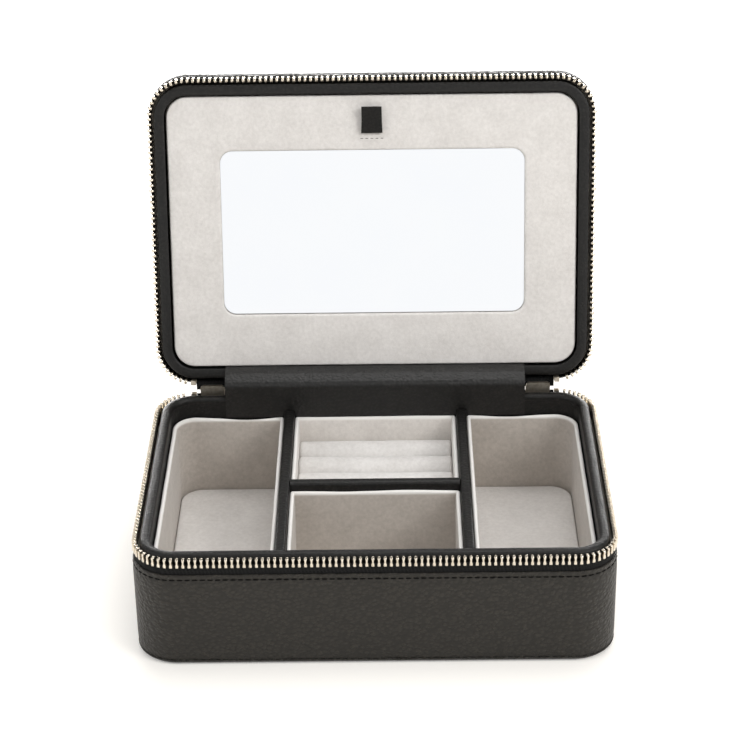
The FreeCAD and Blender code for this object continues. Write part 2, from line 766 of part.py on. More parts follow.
def make_hinge_leather():
    """The flap inside and the spine outside, both drawn as they hang with the lid open."""
    sewn = value("half_depth") - value("leather + tape / 2")
    base_foot = in_section(sewn, value("tape_foot"))
    base_edge = in_section(sewn, value("leather_top"))
    lid_edge = in_lid_section(sewn, value("lid_leather_edge"))
    lid_end = in_lid_section(sewn, value("lid_board_top"))
    corner = meet(base_foot, base_edge, lid_end, lid_edge)
    half = value("spine_half")
    spine = strip_solid([base_foot, corner, lid_end], [value("spine_bend")], value("tape"), -half, half)
    make_group("hinge_spine", [spine])

    bend = value("lip_round + flap_gap + flap / 2")
    wall = value("half_depth - collar_inner - flap_gap - flap / 2")
    centre_y = value("half_depth - collar_inner + lip_round")
    low_centre = in_section(centre_y, value("lip_top - lip_round"))
    high_centre = in_lid_section(centre_y, value("lid_lip + lip_round"))
    run = (high_centre - low_centre).normalize()
    lift = V(0, -run.z, run.y) * bend
    foot = in_section(wall, value("liner_top + liner_gap"))
    above = in_section(wall, value("lip_top"))
    tuck = in_lid_section(wall, value("lid_lip") + value("flap_tuck"))
    lip = in_lid_section(wall, value("lid_lip"))
    low_corner = meet(foot, above, low_centre + lift, high_centre + lift)
    high_corner = meet(low_centre + lift, high_centre + lift, tuck, lip)
    half = value("flap_half")
    flap = strip_solid([foot, low_corner, high_corner, tuck], [bend, bend], value("flap"), -half, half)
    make_group("hinge_flap", [flap])


def make_tails():
    """Bare tape between the hinge and the teeth: one strip from the base and one from the lid."""
    sewn = value("half_depth") - value("leather + tape / 2")
    middle = value("channel_middle")
    post = value("slider_middle")
    half_post = value("post_height") / 2 + value("post_gap")
    step_low = value("leather_top") + value("tail_rise")
    base_points = [in_section(sewn, value("tape_foot")), in_section(sewn, step_low),
                   in_section(middle, step_low + value("tail_step")), in_section(middle, post - half_post)]
    lid_edge = in_lid_section(sewn, value("lid_leather_edge"))
    lid_end = in_lid_section(sewn, value("lid_board_top"))
    start = in_section(middle, post + half_post)
    top_corner = meet(start, in_section(middle, value("slider_upper")), lid_end, lid_edge)
    near = value("flap_half + tail_gap")
    far = value("chain_end")
    base_tails, lid_tails = [], []
    for low, high in ((near, far), (-far, -near)):
        base_tails.append(strip_solid(base_points, [value("tail_bend")] * 2, value("tape"), low, high))
        lid_tails.append(strip_solid([start, top_corner, lid_end], [value("tail_top_bend")],
                                     value("tape"), low, high))
    make_group("base_tape_tails", base_tails)
    make_group("lid_tape_tails", lid_tails)


def make_slider(name, side):
    """Two plates with turned-in flanges, a post between them and a crown that carries the pull."""
    centre = f"{side} * (slider_centre)"
    body = new_body(f"{name}_slider_shell")
    plan = new_sketch(body, f"{name}SliderPlan", "XZ_Plane", "-slider_outer")
    draw_loop(plan, "Plate", "slider_length", "slider_height", "slider_round")
    add_pad(body, plan, "slider_outer - slider_inner")
    channel = new_sketch(body, f"{name}SliderChannel", "YZ_Plane", "0")
    flange = "(slider_height / 2 - slider_plate)"
    draw_rectangle(channel, "Channel", "channel_inner", "channel_outer", f"-{flange}", flange)
    add_pocket(body, channel, "slider_length + 2 * overrun", middle=True)
    slot = new_sketch(body, f"{name}SliderSlot", "YZ_Plane", "0")
    draw_rectangle(slot, "Slot", "channel_middle - slider_slot / 2", "channel_middle + slider_slot / 2",
                   "-slider_height", "slider_height")
    add_pocket(body, slot, "slider_length + 2 * overrun", middle=True)
    body.setExpression("Placement.Base.x", tied(centre))
    body.setExpression("Placement.Base.z", tied("slider_middle"))

    shapes = [body]
    post_near, post_far = either_side(side, "slider_near + slider_length - post_length - slider_round",
                                      "slider_near + slider_length - slider_round")
    shapes.append(make_box(f"{name}_slider_post",
                           (post_near, "channel_inner", "slider_middle - post_height / 2"),
                           (post_far, "channel_outer", "slider_middle + post_height / 2")))
    for place, mark in (("low", -1), ("high", 1)):
        low_x, high_x = either_side(mark, "rod_span / 2", "rod_span / 2 + crown_post")
        shapes.append(make_box(f"{name}_crown_{place}",
                               (f"{centre} + {low_x}", "channel_outer", "slider_middle - eye_radius"),
                               (f"{centre} + {high_x}", "rod_y + eye_radius", "slider_middle + eye_radius")))
    shapes.append(make_cylinder(f"{name}_crown_rod", "rod_radius", "rod_span + crown_post",
                                (f"{centre} - (rod_span + crown_post) / 2", "rod_y", "slider_middle")))
    keep(f"{name}_slider", make_fuse(f"{name}_slider", shapes))


def make_pull(name, side):
    """A flat pull with a barrel eye, hanging from the slider's crown."""
    centre = f"{side} * (slider_centre)"
    eye_length = "rod_span - 2 * eye_side_gap"
    barrel = make_cylinder(f"{name}_pull_barrel", "eye_radius", eye_length,
                           (f"{centre} - ({eye_length}) / 2", "rod_y", "slider_middle"))
    neck = make_box(f"{name}_pull_neck",
                    (f"{centre} - ({eye_length}) / 2", "rod_y - pull_thickness / 2",
                     "slider_middle - pull_width - eye_radius"),
                    (f"{centre} + ({eye_length}) / 2", "rod_y + pull_thickness / 2", "slider_middle"))
    body = new_body(f"{name}_pull_plate")
    plan = new_sketch(body, f"{name}PullPlan", "XZ_Plane", "-rod_y - pull_thickness / 2")
    draw_loop(plan, "Plate", "pull_width", "pull_length - 2 * eye_radius", "pull_round")
    add_pad(body, plan, "pull_thickness")
    body.setExpression("Placement.Base.x", tied(centre))
    body.setExpression("Placement.Base.z", tied("slider_middle - eye_radius - pull_length / 2"))
    whole = make_fuse(f"{name}_pull_blank", [barrel, neck, body])
    bore = make_cylinder(f"{name}_pull_bore", "rod_radius + eye_gap", "rod_span",
                         (f"{centre} - rod_span / 2", "rod_y", "slider_middle"))
    keep(f"{name}_pull", make_cut(f"{name}_pull", whole, bore))


def make_zip():
    make_tape("base_zip_tape", "tape_foot", "tape_top")
    make_tape("lid_zip_tape", "zip_height + tape_edge_drop", "lid_board_top")
    make_chain("base", 1, value("tape_top"), -1 / 4)
    make_chain("lid", -1, value("zip_height + tape_edge_drop"), 1 / 4)
    make_tails()
    for name, side in (("left", -1), ("right", 1)):
        make_slider(name, side)
        make_pull(name, side)


make_base()
make_lid()
make_pull_tab()
make_dividers()
make_side_trays()
make_centre_trays()
make_zip()
make_hinge_leather()
doc.recompute()

LID_PIECES = ["lid_top_panel", "lid_shell", "lid_side_leather", "lid_collar_board", "lid_collar_leather",
              "lid_lining", "lid_inner_frame", "panel_board", "panel_suede", "mirror_glass",
              "panel_hinge_strip", "lid_zip_tape", "lid_zip_teeth", "lid_zip_stops", "pull_tab"]
for lid_piece in LID_PIECES:
    swing_open(pieces[lid_piece])
doc.recompute()

for item in doc.Objects:
    if "Invalid" in item.State or "Error" in item.State:
        raise RuntimeError(f"{item.Label} did not build: {item.State}")
for label, piece in pieces.items():
    if piece.Shape.isNull() or not piece.Shape.isValid() or not piece.Shape.Solids:
        raise RuntimeError(f"{label} is not a valid solid")

os.makedirs("parts", exist_ok=True)
for label, piece in pieces.items():
    piece.Shape.exportStep(os.path.join("parts", label + ".step"))
    box = piece.Shape.BoundBox
    print(f"{label}: {len(piece.Shape.Solids)} solids, {piece.Shape.Volume:.0f} mm3, "
          f"x {box.XMin:.1f}..{box.XMax:.1f} y {box.YMin:.1f}..{box.YMax:.1f} z {box.ZMin:.1f}..{box.ZMax:.1f}")
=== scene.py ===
import json
import math

import bpy
import numpy as np
from mathutils import Matrix, Vector, noise


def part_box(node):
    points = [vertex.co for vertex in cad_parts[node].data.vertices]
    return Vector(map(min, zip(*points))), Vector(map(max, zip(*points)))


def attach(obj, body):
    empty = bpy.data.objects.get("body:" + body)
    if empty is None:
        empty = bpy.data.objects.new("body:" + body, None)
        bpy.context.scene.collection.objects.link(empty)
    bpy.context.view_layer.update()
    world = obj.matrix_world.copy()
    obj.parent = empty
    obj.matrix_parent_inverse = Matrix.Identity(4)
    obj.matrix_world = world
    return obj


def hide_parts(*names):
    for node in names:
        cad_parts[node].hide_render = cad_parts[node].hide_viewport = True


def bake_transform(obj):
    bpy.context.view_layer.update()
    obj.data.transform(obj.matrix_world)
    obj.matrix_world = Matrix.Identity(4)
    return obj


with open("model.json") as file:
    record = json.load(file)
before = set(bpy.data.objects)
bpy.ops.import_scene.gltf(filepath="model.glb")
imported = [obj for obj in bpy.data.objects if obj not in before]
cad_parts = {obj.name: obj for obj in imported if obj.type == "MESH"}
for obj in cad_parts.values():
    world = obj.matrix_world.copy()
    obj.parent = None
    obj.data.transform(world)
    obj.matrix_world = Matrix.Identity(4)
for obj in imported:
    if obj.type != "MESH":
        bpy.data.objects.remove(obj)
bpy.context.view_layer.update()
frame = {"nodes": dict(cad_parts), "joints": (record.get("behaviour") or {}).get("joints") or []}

# Travel jewelry box in metres: X along the front, Y to the back, Z up from the table.
# Lid pieces are drawn closed, above the zip plane, and then turned open about the hinge.
MM = 0.001
NODES = frame["nodes"]
JOINTS = {joint["name"]: joint for joint in frame["joints"]}
HINGE_POINT = Vector(JOINTS["lid_hinge"]["pos_m"])
OPEN_TURN = math.radians(JOINTS["lid_hinge"]["range_deg"][1])
OPEN_LID = (Matrix.Translation(HINGE_POINT) @ Matrix.Rotation(-OPEN_TURN, 4, "X")
            @ Matrix.Translation(-HINGE_POINT))
CLOSE_LID = OPEN_LID.inverted()


def turned(points, matrix):
    """Points, an (n, 3) array, moved by a 4 by 4 matrix."""
    spots = np.asarray(points, float)
    move = np.array(matrix)
    return spots @ move[:3, :3].T + move[:3, 3]


def closed_box(node):
    """A lid node's lowest and highest corners as they are with the lid closed."""
    spots = turned([vertex.co for vertex in NODES[node].data.vertices], CLOSE_LID)
    return Vector(spots.min(0)), Vector(spots.max(0))


# Sizes read from the frame
CASE_LOW, CASE_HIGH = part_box("base_side_leather")
HALF_WIDTH = CASE_HIGH.x
HALF_DEPTH = CASE_HIGH.y
LEATHER_TOP = CASE_HIGH.z
SEAM_HEIGHT = CASE_LOW.z
CHAIN_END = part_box("base_tape_tails")[1].x
CORNER = HALF_WIDTH - CHAIN_END
TAPE_INSET = HALF_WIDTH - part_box("base_wadding")[1].x
BOARD_INSET = HALF_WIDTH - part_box("base_shell")[1].x
TAPE = BOARD_INSET - TAPE_INSET
TAPE_MIDDLE = (TAPE_INSET + BOARD_INSET) / 2
COLLAR_OUTER = HALF_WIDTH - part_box("base_collar_leather")[1].x
LINER_INSET = HALF_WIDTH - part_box("right_liner")[1].x
LINER_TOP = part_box("right_liner")[1].z
LINER_GAP = 0.2 * MM
COLLAR_INNER = LINER_INSET - LINER_GAP
COLLAR_FOOT, LIP_TOP = (corner.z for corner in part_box("base_collar_leather"))
TAPE_FOOT, TAPE_TOP = (corner.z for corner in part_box("base_zip_tape"))
TEETH_FOOT, TEETH_TIP = (corner.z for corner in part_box("base_zip_teeth"))
LID_LEATHER_EDGE, LID_SEAM = (corner.z for corner in closed_box("lid_side_leather"))
LID_LIP, LID_CEILING = (corner.z for corner in closed_box("lid_collar_leather"))
LID_TAPE_EDGE, LID_TAPE_TOP = (corner.z for corner in closed_box("lid_zip_tape"))
LID_TEETH_TIP = closed_box("lid_zip_teeth")[0].z
LID_TOP = closed_box("lid_top_panel")[1].z
PANEL_LOW, PANEL_HIGH = closed_box("panel_suede")
PANEL_INSET = HALF_WIDTH - PANEL_HIGH.x
MIRROR_LOW, MIRROR_HIGH = closed_box("mirror_glass")

# Sizes of the soft goods' own detail
LEATHER = 0.9 * MM
SEAM_GROOVE = 0.45 * MM
STITCH_DROP = 2.4 * MM
STITCH_PITCH = 3.1 * MM
STITCH_LENGTH = 2.3 * MM
THREAD = 0.3 * MM
TOOTH_PITCH = 2.48 * MM
TOOTH_STOP = 2.4 * MM
TOOTH_STAGGER_SHARE = 0.25
MIRROR_RADIUS = 5.5 * MM
RISER_RADIUS = 1.0 * MM
PAD_CROWN = 0.3 * MM
LIP_SWELL = 0.8 * MM
BASE_BEAD = 2.0 * MM
LID_BEAD = 0.8 * MM
SEWN_GAP = 1.0 * MM
LEAST_RADIUS = 0.05 * MM
LEAST_TURN = 1e-6

# How soft pieces wrinkle: how far a point moves and the span of a wrinkle, in millimetres, and its place in
# the noise, which is the same in every run
NOISE_SEED = 7
noise.seed_set(NOISE_SEED)
WRINKLES = {
    "band": (0.06, 14, 3.0),
    "strap": (0.06, 4, 5.0),
    "lip": (0.09, 9, 7.0),
    "divider": (0.07, 8, 11.0),
    "liner": (0.08, 7, 19.0),
    "pad": (0.08, 9, 23.0),
    "panel": (0.07, 10, 31.0),
    "flap": (0.06, 8, 41.0),
    "spine": (0.12, 7, 47.0),
    "roll": (0.22, 11, 50.0),
}

# Corners of a plan: the side in X, the side in Y and the angle where the corner's arc starts
PLAN_CORNERS = ((-1, 1, 90), (-1, -1, 180), (1, -1, 270), (1, 1, 0))
CORNER_STEPS = 14
SIDE_STEPS = 26
CASE_PLAN = ((-HALF_WIDTH, -HALF_DEPTH), (HALF_WIDTH, HALF_DEPTH), (CORNER,) * 4)
HALF_ROUND = np.radians((30, 60, 90, 120, 150))
QUARTER_ROUND = np.radians(np.arange(0, 91, 15))


# Plain geometry
def plan_loop(low, high, radii, inset=0.0, closed=True):
    """A rounded rectangle from above, from the left rear corner round the front to the right rear corner.

    It has the same points whatever the inset; an open loop leaves out the straight at the back."""
    arcs = []
    for (side, end, start), radius in zip(PLAN_CORNERS, radii):
        bend = max(radius - inset, LEAST_RADIUS)
        centre_x = high[0] - inset - bend if side > 0 else low[0] + inset + bend
        centre_y = high[1] - inset - bend if end > 0 else low[1] + inset + bend
        angles = np.radians(np.linspace(start, start + 90, CORNER_STEPS + 1))
        arcs.append(np.column_stack([centre_x + bend * np.cos(angles), centre_y + bend * np.sin(angles)]))
    shares = np.linspace(0, 1, SIDE_STEPS + 1)[1:-1, None]
    runs = []
    for arc, after in zip(arcs, arcs[1:] + arcs[:1]):
        runs.append(arc)
        if closed or after is not arcs[0]:
            runs.append(arc[-1] + (after[0] - arc[-1]) * shares)
    return np.concatenate(runs)


def at_height(loop, height):
    return np.column_stack([loop, np.full(len(loop), height)])


def stacked(section, low, high, radii, closed=True):
    """A plan drawn once for each (inset, height) point of a section."""
    return [at_height(plan_loop(low, high, radii, inset, closed), height) for inset, height in section]


def rounded_path(points, bends, steps=6):
    """A line through points in two dimensions whose inner corners are arcs of the given radii."""
    spots = [np.asarray(point, float) for point in points]
    path = [spots[0]]
    for before, spot, after, radius in zip(spots, spots[1:], spots[2:], bends):
        head_in = (spot - before) / np.linalg.norm(spot - before)
        head_out = (after - spot) / np.linalg.norm(after - spot)
        turn = math.atan2(head_in[0] * head_out[1] - head_in[1] * head_out[0], head_in @ head_out)
        if abs(turn) < LEAST_TURN or radius <= 0:
            path.append(spot)
            continue
        reach = radius * math.tan(abs(turn) / 2)
        across = np.array([-head_in[1], head_in[0]]) * math.copysign(radius, turn)
        centre = spot - head_in * reach + across
        for share in np.linspace(0, 1, steps + 1):
            angle = turn * share
            spin = np.array([[math.cos(angle), -math.sin(angle)], [math.sin(angle), math.cos(angle)]])
            path.append(centre - spin @ across)
    path.append(spots[-1])
    return np.array(path)


def wrinkled(points, kind, number=0):
    """Points pushed about by smooth noise; a number tells pieces of one kind apart."""
    amount, span, place = WRINKLES[kind]
    place += number
    shift = Vector((place, place * 2, -place))
    scale = 1 / (span * MM)
    return np.array([point + np.array(noise.noise_vector(Vector(point) * scale + shift)) * (amount * MM)
                     for point in points])


def add_piece(name, points, faces, material, body, replaces=(), slot=None, sharp=40, uvs=None):
    """A mesh that rides a body and stands for CAD nodes; edges past the sharp angle stay crisp."""
    mesh = bpy.data.meshes.new(name)
    mesh.from_pydata([tuple(point) for point in points], [], [tuple(face) for face in faces])
    mesh.validate()
    if uvs is not None:
        layer = mesh.uv_layers.new(name="length")
        layer.data.foreach_set("uv", np.array([uvs[loop.vertex_index] for loop in mesh.loops]).ravel())
    piece = bpy.data.objects.new(name, mesh)
    bpy.context.scene.collection.objects.link(piece)
    bpy.context.view_layer.objects.active = piece
    bpy.ops.object.mode_set(mode="EDIT")
    bpy.ops.mesh.select_all(action="SELECT")
    bpy.ops.mesh.normals_make_consistent(inside=False)
    bpy.ops.object.mode_set(mode="OBJECT")
    mesh.shade_smooth()
    mesh.set_sharp_from_angle(angle=math.radians(sharp))
    mesh.materials.append(material)
    if body:
        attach(piece, body)
    if replaces:
        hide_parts(*replaces)
    return piece


def add_half(name, points, faces, material, in_lid, replaces=(), slot=None, **settings):
    """A piece of the base, or one drawn in the closed lid and turned open with it."""
    body = "lid" if in_lid else "base"
    shown = turned(points, OPEN_LID) if in_lid else points
    return add_piece(name, shown, faces, material, body, replaces, slot, **settings)


def loft(rings, wrap_path=True, wrap_rings=True, caps=False):
    """Points and quads through rings of equal count; caps close the first and last ring or, on an open
    path, the two ends."""
    count, size = len(rings), len(rings[0])
    points = np.concatenate(rings)
    faces = []
    for ring in range(count if wrap_rings else count - 1):
        after = (ring + 1) % count
        for spot in range(size if wrap_path else size - 1):
            step = (spot + 1) % size
            faces.append((ring * size + spot, ring * size + step, after * size + step, after * size + spot))
    if caps and wrap_path:
        faces.append(tuple(range(size)))
        faces.append(tuple((count - 1) * size + spot for spot in range(size)))
    if caps and not wrap_path:
        for spot in (0, size - 1):
            faces.append(tuple(ring * size + spot for ring in range(count)))
    return points, faces


def round_over(inset, level, run, rise, angles):
    """Section points of a rounded edge that starts at an inset, runs inwards and rises to a level."""
    return [(inset + run - run * math.cos(angle), level - rise + rise * math.sin(angle)) for angle in angles]


def swept_ring(section, closed=True):
    """A section of (inset, height) points carried round the case's outline."""
    return loft(stacked(section, *CASE_PLAN, closed), wrap_path=closed, caps=not closed)


def merge(parts):
    """Several (points, faces) pairs as one."""
    points, faces, start = [], [], 0
    for some_points, some_faces in parts:
        points.append(np.asarray(some_points, float))
        faces.extend(tuple(index + start for index in face) for face in some_faces)
        start += len(some_points)
    return np.concatenate(points), faces


def spaced(path, pitch, margin, shift_share=0.0):
    """Places and headings at even steps along a line in the XY plane."""
    steps = np.linalg.norm(np.diff(path, axis=0), axis=1)
    reach = np.concatenate([[0], np.cumsum(steps)])
    count = int((reach[-1] - 2 * margin) / pitch)
    first = (reach[-1] - (count - 1) * pitch) / 2 + shift_share * pitch
    places = []
    for number in range(count):
        distance = first + number * pitch
        leg = min(int(np.searchsorted(reach, distance, "right")) - 1, len(steps) - 1)
        share = (distance - reach[leg]) / steps[leg]
        run = path[leg + 1] - path[leg]
        places.append((path[leg] + run * share, math.atan2(run[1], run[0])))
    return places


def stamped(shape, places, height):
    """Copies of a small shape set along a line, each turned to the line's heading."""
    parts = []
    for (x, y), heading in places:
        move = Matrix.Translation((x, y, height)) @ Matrix.Rotation(heading, 4, "Z")
        parts.append((turned(shape[0], move), shape[1]))
    return merge(parts)


def ribbon(path, thickness, low_x, high_x, steps):
    """A strip of even thickness along a line in the YZ plane, with its width and length as UVs."""
    heads = np.gradient(path, axis=0)
    heads /= np.linalg.norm(heads, axis=1)[:, None]
    across = np.column_stack([-heads[:, 1], heads[:, 0]]) * thickness / 2
    lengths = np.concatenate([[0], np.cumsum(np.linalg.norm(np.diff(path, axis=0), axis=1))])
    loop = np.concatenate([path + across, (path - across)[::-1]])
    along = np.concatenate([lengths, lengths[::-1]])
    rings, uvs = [], []
    for x in np.linspace(low_x, high_x, steps + 1):
        rings.append(np.column_stack([np.full(len(loop), x), loop]))
        uvs.extend((x, length) for length in along)
    points, faces = loft(rings, wrap_rings=False)
    count = len(path)
    for start in (0, steps * 2 * count):
        for spot in range(count - 1):
            back = 2 * count - 1 - spot
            faces.append((start + spot, start + spot + 1, start + back - 1, start + back))
    return points, faces, uvs


# Shader nodes
UNIT_SPAN = (0.0, 1.0)
NOISE_SPAN = (0.3, 0.7)
WIDE_NOISE_SPAN = (0.2, 0.8)


def new_material(name):
    material = bpy.data.materials.new(name)
    material.use_nodes = True
    tree = material.node_tree
    return material, tree, tree.nodes["Principled BSDF"]


def set_inputs(tree, node, inputs):
    """Links sockets to a node's inputs, or sets constants on them."""
    for key, source in inputs.items():
        if isinstance(source, bpy.types.NodeSocket):
            tree.links.new(source, node.inputs[key])
        else:
            node.inputs[key].default_value = source


def add_node(tree, kind, inputs, **settings):
    node = tree.nodes.new(kind)
    for key, setting in settings.items():
        setattr(node, key, setting)
    set_inputs(tree, node, inputs)
    return node


def position(tree, source="Object"):
    return add_node(tree, "ShaderNodeTexCoord", {}).outputs[source]


def add_noise(tree, where, scale, detail=3.0, rough=0.55):
    inputs = {"Vector": where, "Scale": scale, "Detail": detail, "Roughness": rough}
    return add_node(tree, "ShaderNodeTexNoise", inputs).outputs["Fac"]


def remap(tree, source, span, to_span, kind="LINEAR"):
    inputs = {"Value": source, "From Min": span[0], "From Max": span[1],
              "To Min": to_span[0], "To Max": to_span[1]}
    return add_node(tree, "ShaderNodeMapRange", inputs, interpolation_type=kind).outputs["Result"]


def mix_colours(tree, factor, first, second):
    """Two colours mixed; sockets 6 and 7 of the node take them and its output 2 gives the mix."""
    ends = [end if isinstance(end, bpy.types.NodeSocket) else (*end, 1.0) for end in (first, second)]
    inputs = {0: factor, 6: ends[0], 7: ends[1]}
    return add_node(tree, "ShaderNodeMix", inputs, data_type="RGBA").outputs[2]


def mix_values(tree, factor, first, second):
    """Two values mixed; sockets 2 and 3 of the node take them and its output 0 gives the mix."""
    return add_node(tree, "ShaderNodeMix", {0: factor, 2: first, 3: second}, data_type="FLOAT").outputs[0]


def add_values(tree, first, second, operation="ADD"):
    node = add_node(tree, "ShaderNodeMath", {0: first, 1: second}, operation=operation)
    return node.outputs["Value"]


def add_bump(tree, height, strength, depth):
    inputs = {"Height": height, "Strength": strength, "Distance": depth}
    return add_node(tree, "ShaderNodeBump", inputs).outputs["Normal"]


def set_grain(tree, shader, grain, tones, rough, bump, span=UNIT_SPAN, shine=0.5):
    """One grain drives a surface's colour, its roughness over a span, and its bump's strength and depth."""
    set_inputs(tree, shader, {
        "Base Color": mix_colours(tree, grain, *tones),
        "Roughness": remap(tree, grain, span, rough),
        "Normal": add_bump(tree, grain, *bump),
        "Specular IOR Level": shine,
    })


# Materials
def leather_material(name, tones, pebble, depth, rough, shine, source="Object"):
    """Pebbled leather: soft domed grains, a little longer than tall, with darker valleys and pores."""
    material, tree, shader = new_material(name)
    where = position(tree, source)
    sway_share, grain_shares, pore_share = 0.8, (0.8, 0.9, 1.0), 0.25
    smoother, rougher = 0.06, 0.08
    sway = add_node(tree, "ShaderNodeTexNoise", {"Vector": where, "Scale": 0.5 / pebble, "Detail": 2.0})
    shift = add_node(tree, "ShaderNodeVectorMath", {0: sway.outputs["Color"], 1: (pebble * sway_share,) * 3},
                     operation="MULTIPLY")
    moved = add_node(tree, "ShaderNodeVectorMath", {0: where, 1: shift.outputs[0]}).outputs[0]
    longer = add_node(tree, "ShaderNodeMapping", {"Vector": moved, "Scale": grain_shares}).outputs[0]
    cells = add_node(tree, "ShaderNodeTexVoronoi",
                     {"Vector": longer, "Scale": 1 / pebble, "Smoothness": 0.25}, feature="SMOOTH_F1")
    dome = remap(tree, cells.outputs["Distance"], (0.15, 0.75), (1.0, 0.0), "SMOOTHSTEP")
    fine = add_noise(tree, where, 4.0 / pebble, detail=2.0)
    broad = add_noise(tree, where, 0.3 / pebble)
    rise = add_values(tree, dome, remap(tree, broad, NOISE_SPAN, (0.4, 1.0)), "MULTIPLY")
    grain = add_values(tree, rise, add_values(tree, fine, pore_share, "MULTIPLY"))
    tone = add_values(tree, remap(tree, rise, (0.0, 0.8), (0.0, 0.85)),
                      remap(tree, broad, NOISE_SPAN, (0.0, 0.15)))
    set_inputs(tree, shader, {
        "Base Color": mix_colours(tree, tone, *tones),
        "Roughness": remap(tree, fine, NOISE_SPAN, (rough - smoother, rough + rougher)),
        "Normal": add_bump(tree, grain, 0.75, depth),
        "Specular IOR Level": shine,
    })
    return material


def suede_material(name, shade, light, edge=None):
    """Microsuede: a short nap brushed into paler and darker patches and, given an edge height, a painted
    highlight that turns it pale up to its folded top edge.
    """
    material, tree, shader = new_material(name)
    where = position(tree)
    highlight_start, highlight_end = 1.9 * MM, 0.6 * MM
    nap_depth = 0.25 * MM
    patches = add_noise(tree, where, 90.0)
    mottle = add_noise(tree, where, 620.0, rough=0.6)
    fibre = add_noise(tree, where, 2600.0, detail=2.0, rough=0.7)
    tone = add_values(tree, remap(tree, patches, NOISE_SPAN, (0.0, 0.4)),
                      remap(tree, mottle, NOISE_SPAN, (0.0, 0.6)))
    colour = mix_colours(tree, tone, shade, light)
    # Painted highlight: the colour turns pale over the last couple of millimetres below the edge, where the
    # rounded top faces the light
    if edge is not None:
        height = add_node(tree, "ShaderNodeSeparateXYZ", {0: where}).outputs["Z"]
        wear_and_painted_highlight = remap(tree, height, (edge - highlight_start, edge - highlight_end), UNIT_SPAN, "SMOOTHSTEP")
        colour = mix_colours(tree, wear_and_painted_highlight, colour, PAINTED_EDGE_HIGHLIGHT)
    set_inputs(tree, shader, {
        "Base Color": colour,
        "Roughness": remap(tree, fibre, WIDE_NOISE_SPAN, (0.85, 1.0)),
        "Normal": add_bump(tree, add_values(tree, mottle, fibre), 0.35, nap_depth),
        "Specular IOR Level": 0.15,
        "Sheen Weight": 0.25,
        "Sheen Roughness": 0.6,
    })
    return material


def tape_material(name, source="Object"):
    """Woven zip tape: fine ribs across a herringbone."""
    material, tree, shader = new_material(name)
    where = position(tree, source)
    tones = ((0.003, 0.003, 0.003), (0.011, 0.011, 0.0112))
    ribs = []
    for turn in (math.radians(45), math.radians(-45)):
        spun = add_node(tree, "ShaderNodeMapping", {"Vector": where, "Rotation": (turn, turn, turn)})
        wave = add_node(tree, "ShaderNodeTexWave",
                        {"Vector": spun.outputs[0], "Scale": 420.0, "Distortion": 0.6})
        ribs.append(wave.outputs["Fac"])
    weave = add_values(tree, *ribs, "MAXIMUM")
    set_grain(tree, shader, weave, tones, rough=(0.95, 0.75), bump=(0.5, 0.12 * MM), shine=0.14)
    return material


def nickel_material(name, polished, wear_and_painted_highlight):
    """Nickel with faint rub marks, from its polished roughness to its worn one."""
    material, tree, shader = new_material(name)
    where = position(tree)
    mark_depth = 0.05 * MM
    cloud = add_noise(tree, where, 700.0, detail=2.0)
    marks = add_noise(tree, where, 3500.0, detail=2.0)
    set_inputs(tree, shader, {
        "Base Color": mix_colours(tree, cloud, (0.5, 0.43, 0.33), (0.84, 0.78, 0.68)),
        "Roughness": remap(tree, marks, NOISE_SPAN, (polished, wear_and_painted_highlight)),
        "Normal": add_bump(tree, marks, 0.1, mark_depth),
        "Metallic": 1.0,
    })
    return material


def mirror_material():
    """Silvered glass, a little hazed where it has been wiped."""
    material, tree, shader = new_material("mirror")
    wipe = add_noise(tree, position(tree), 40.0, detail=4.0)
    set_inputs(tree, shader, {
        "Base Color": mix_colours(tree, wipe, (0.93, 0.95, 0.98), (0.96, 0.97, 0.98)),
        "Roughness": remap(tree, wipe, (0.4, 0.8), (0.0, 0.03)),
        "Metallic": 1.0,
    })
    return material


def board_material():
    """Grey pressed board, flecked with fibre."""
    material, tree, shader = new_material("board")
    tones = ((0.24, 0.22, 0.19), (0.42, 0.39, 0.34))
    fleck = add_noise(tree, position(tree), 900.0, detail=4.0, rough=0.7)
    set_grain(tree, shader, fleck, tones, rough=(0.8, 0.95), bump=(0.3, 0.1 * MM), span=WIDE_NOISE_SPAN)
    return material


def foam_material():
    """Open-celled foam."""
    material, tree, shader = new_material("foam")
    tones = ((0.62, 0.6, 0.57), (0.78, 0.77, 0.74))
    cells = add_node(tree, "ShaderNodeTexVoronoi", {"Vector": position(tree), "Scale": 1800.0})
    set_grain(tree, shader, cells.outputs["Distance"], tones, rough=(0.85, 1.0), bump=(0.4, 0.2 * MM))
    return material


def thread_material(name, dark, light):
    """Twisted sewing thread."""
    material, tree, shader = new_material(name)
    twist = add_node(tree, "ShaderNodeTexWave", {"Vector": position(tree), "Scale": 900.0, "Distortion": 1.0},
                     bands_direction="DIAGONAL").outputs["Fac"]
    set_grain(tree, shader, twist, (dark, light), rough=(0.95, 0.8), bump=(0.4, 0.06 * MM), shine=0.1)
    return material


# Leather tones are those of the valleys and of the crowns between them
CASE_TONES = ((0.012, 0.0103, 0.0078), (0.026, 0.0226, 0.0175))
TRIM_TONES = ((0.004, 0.0037, 0.0033), (0.0105, 0.0098, 0.0088))
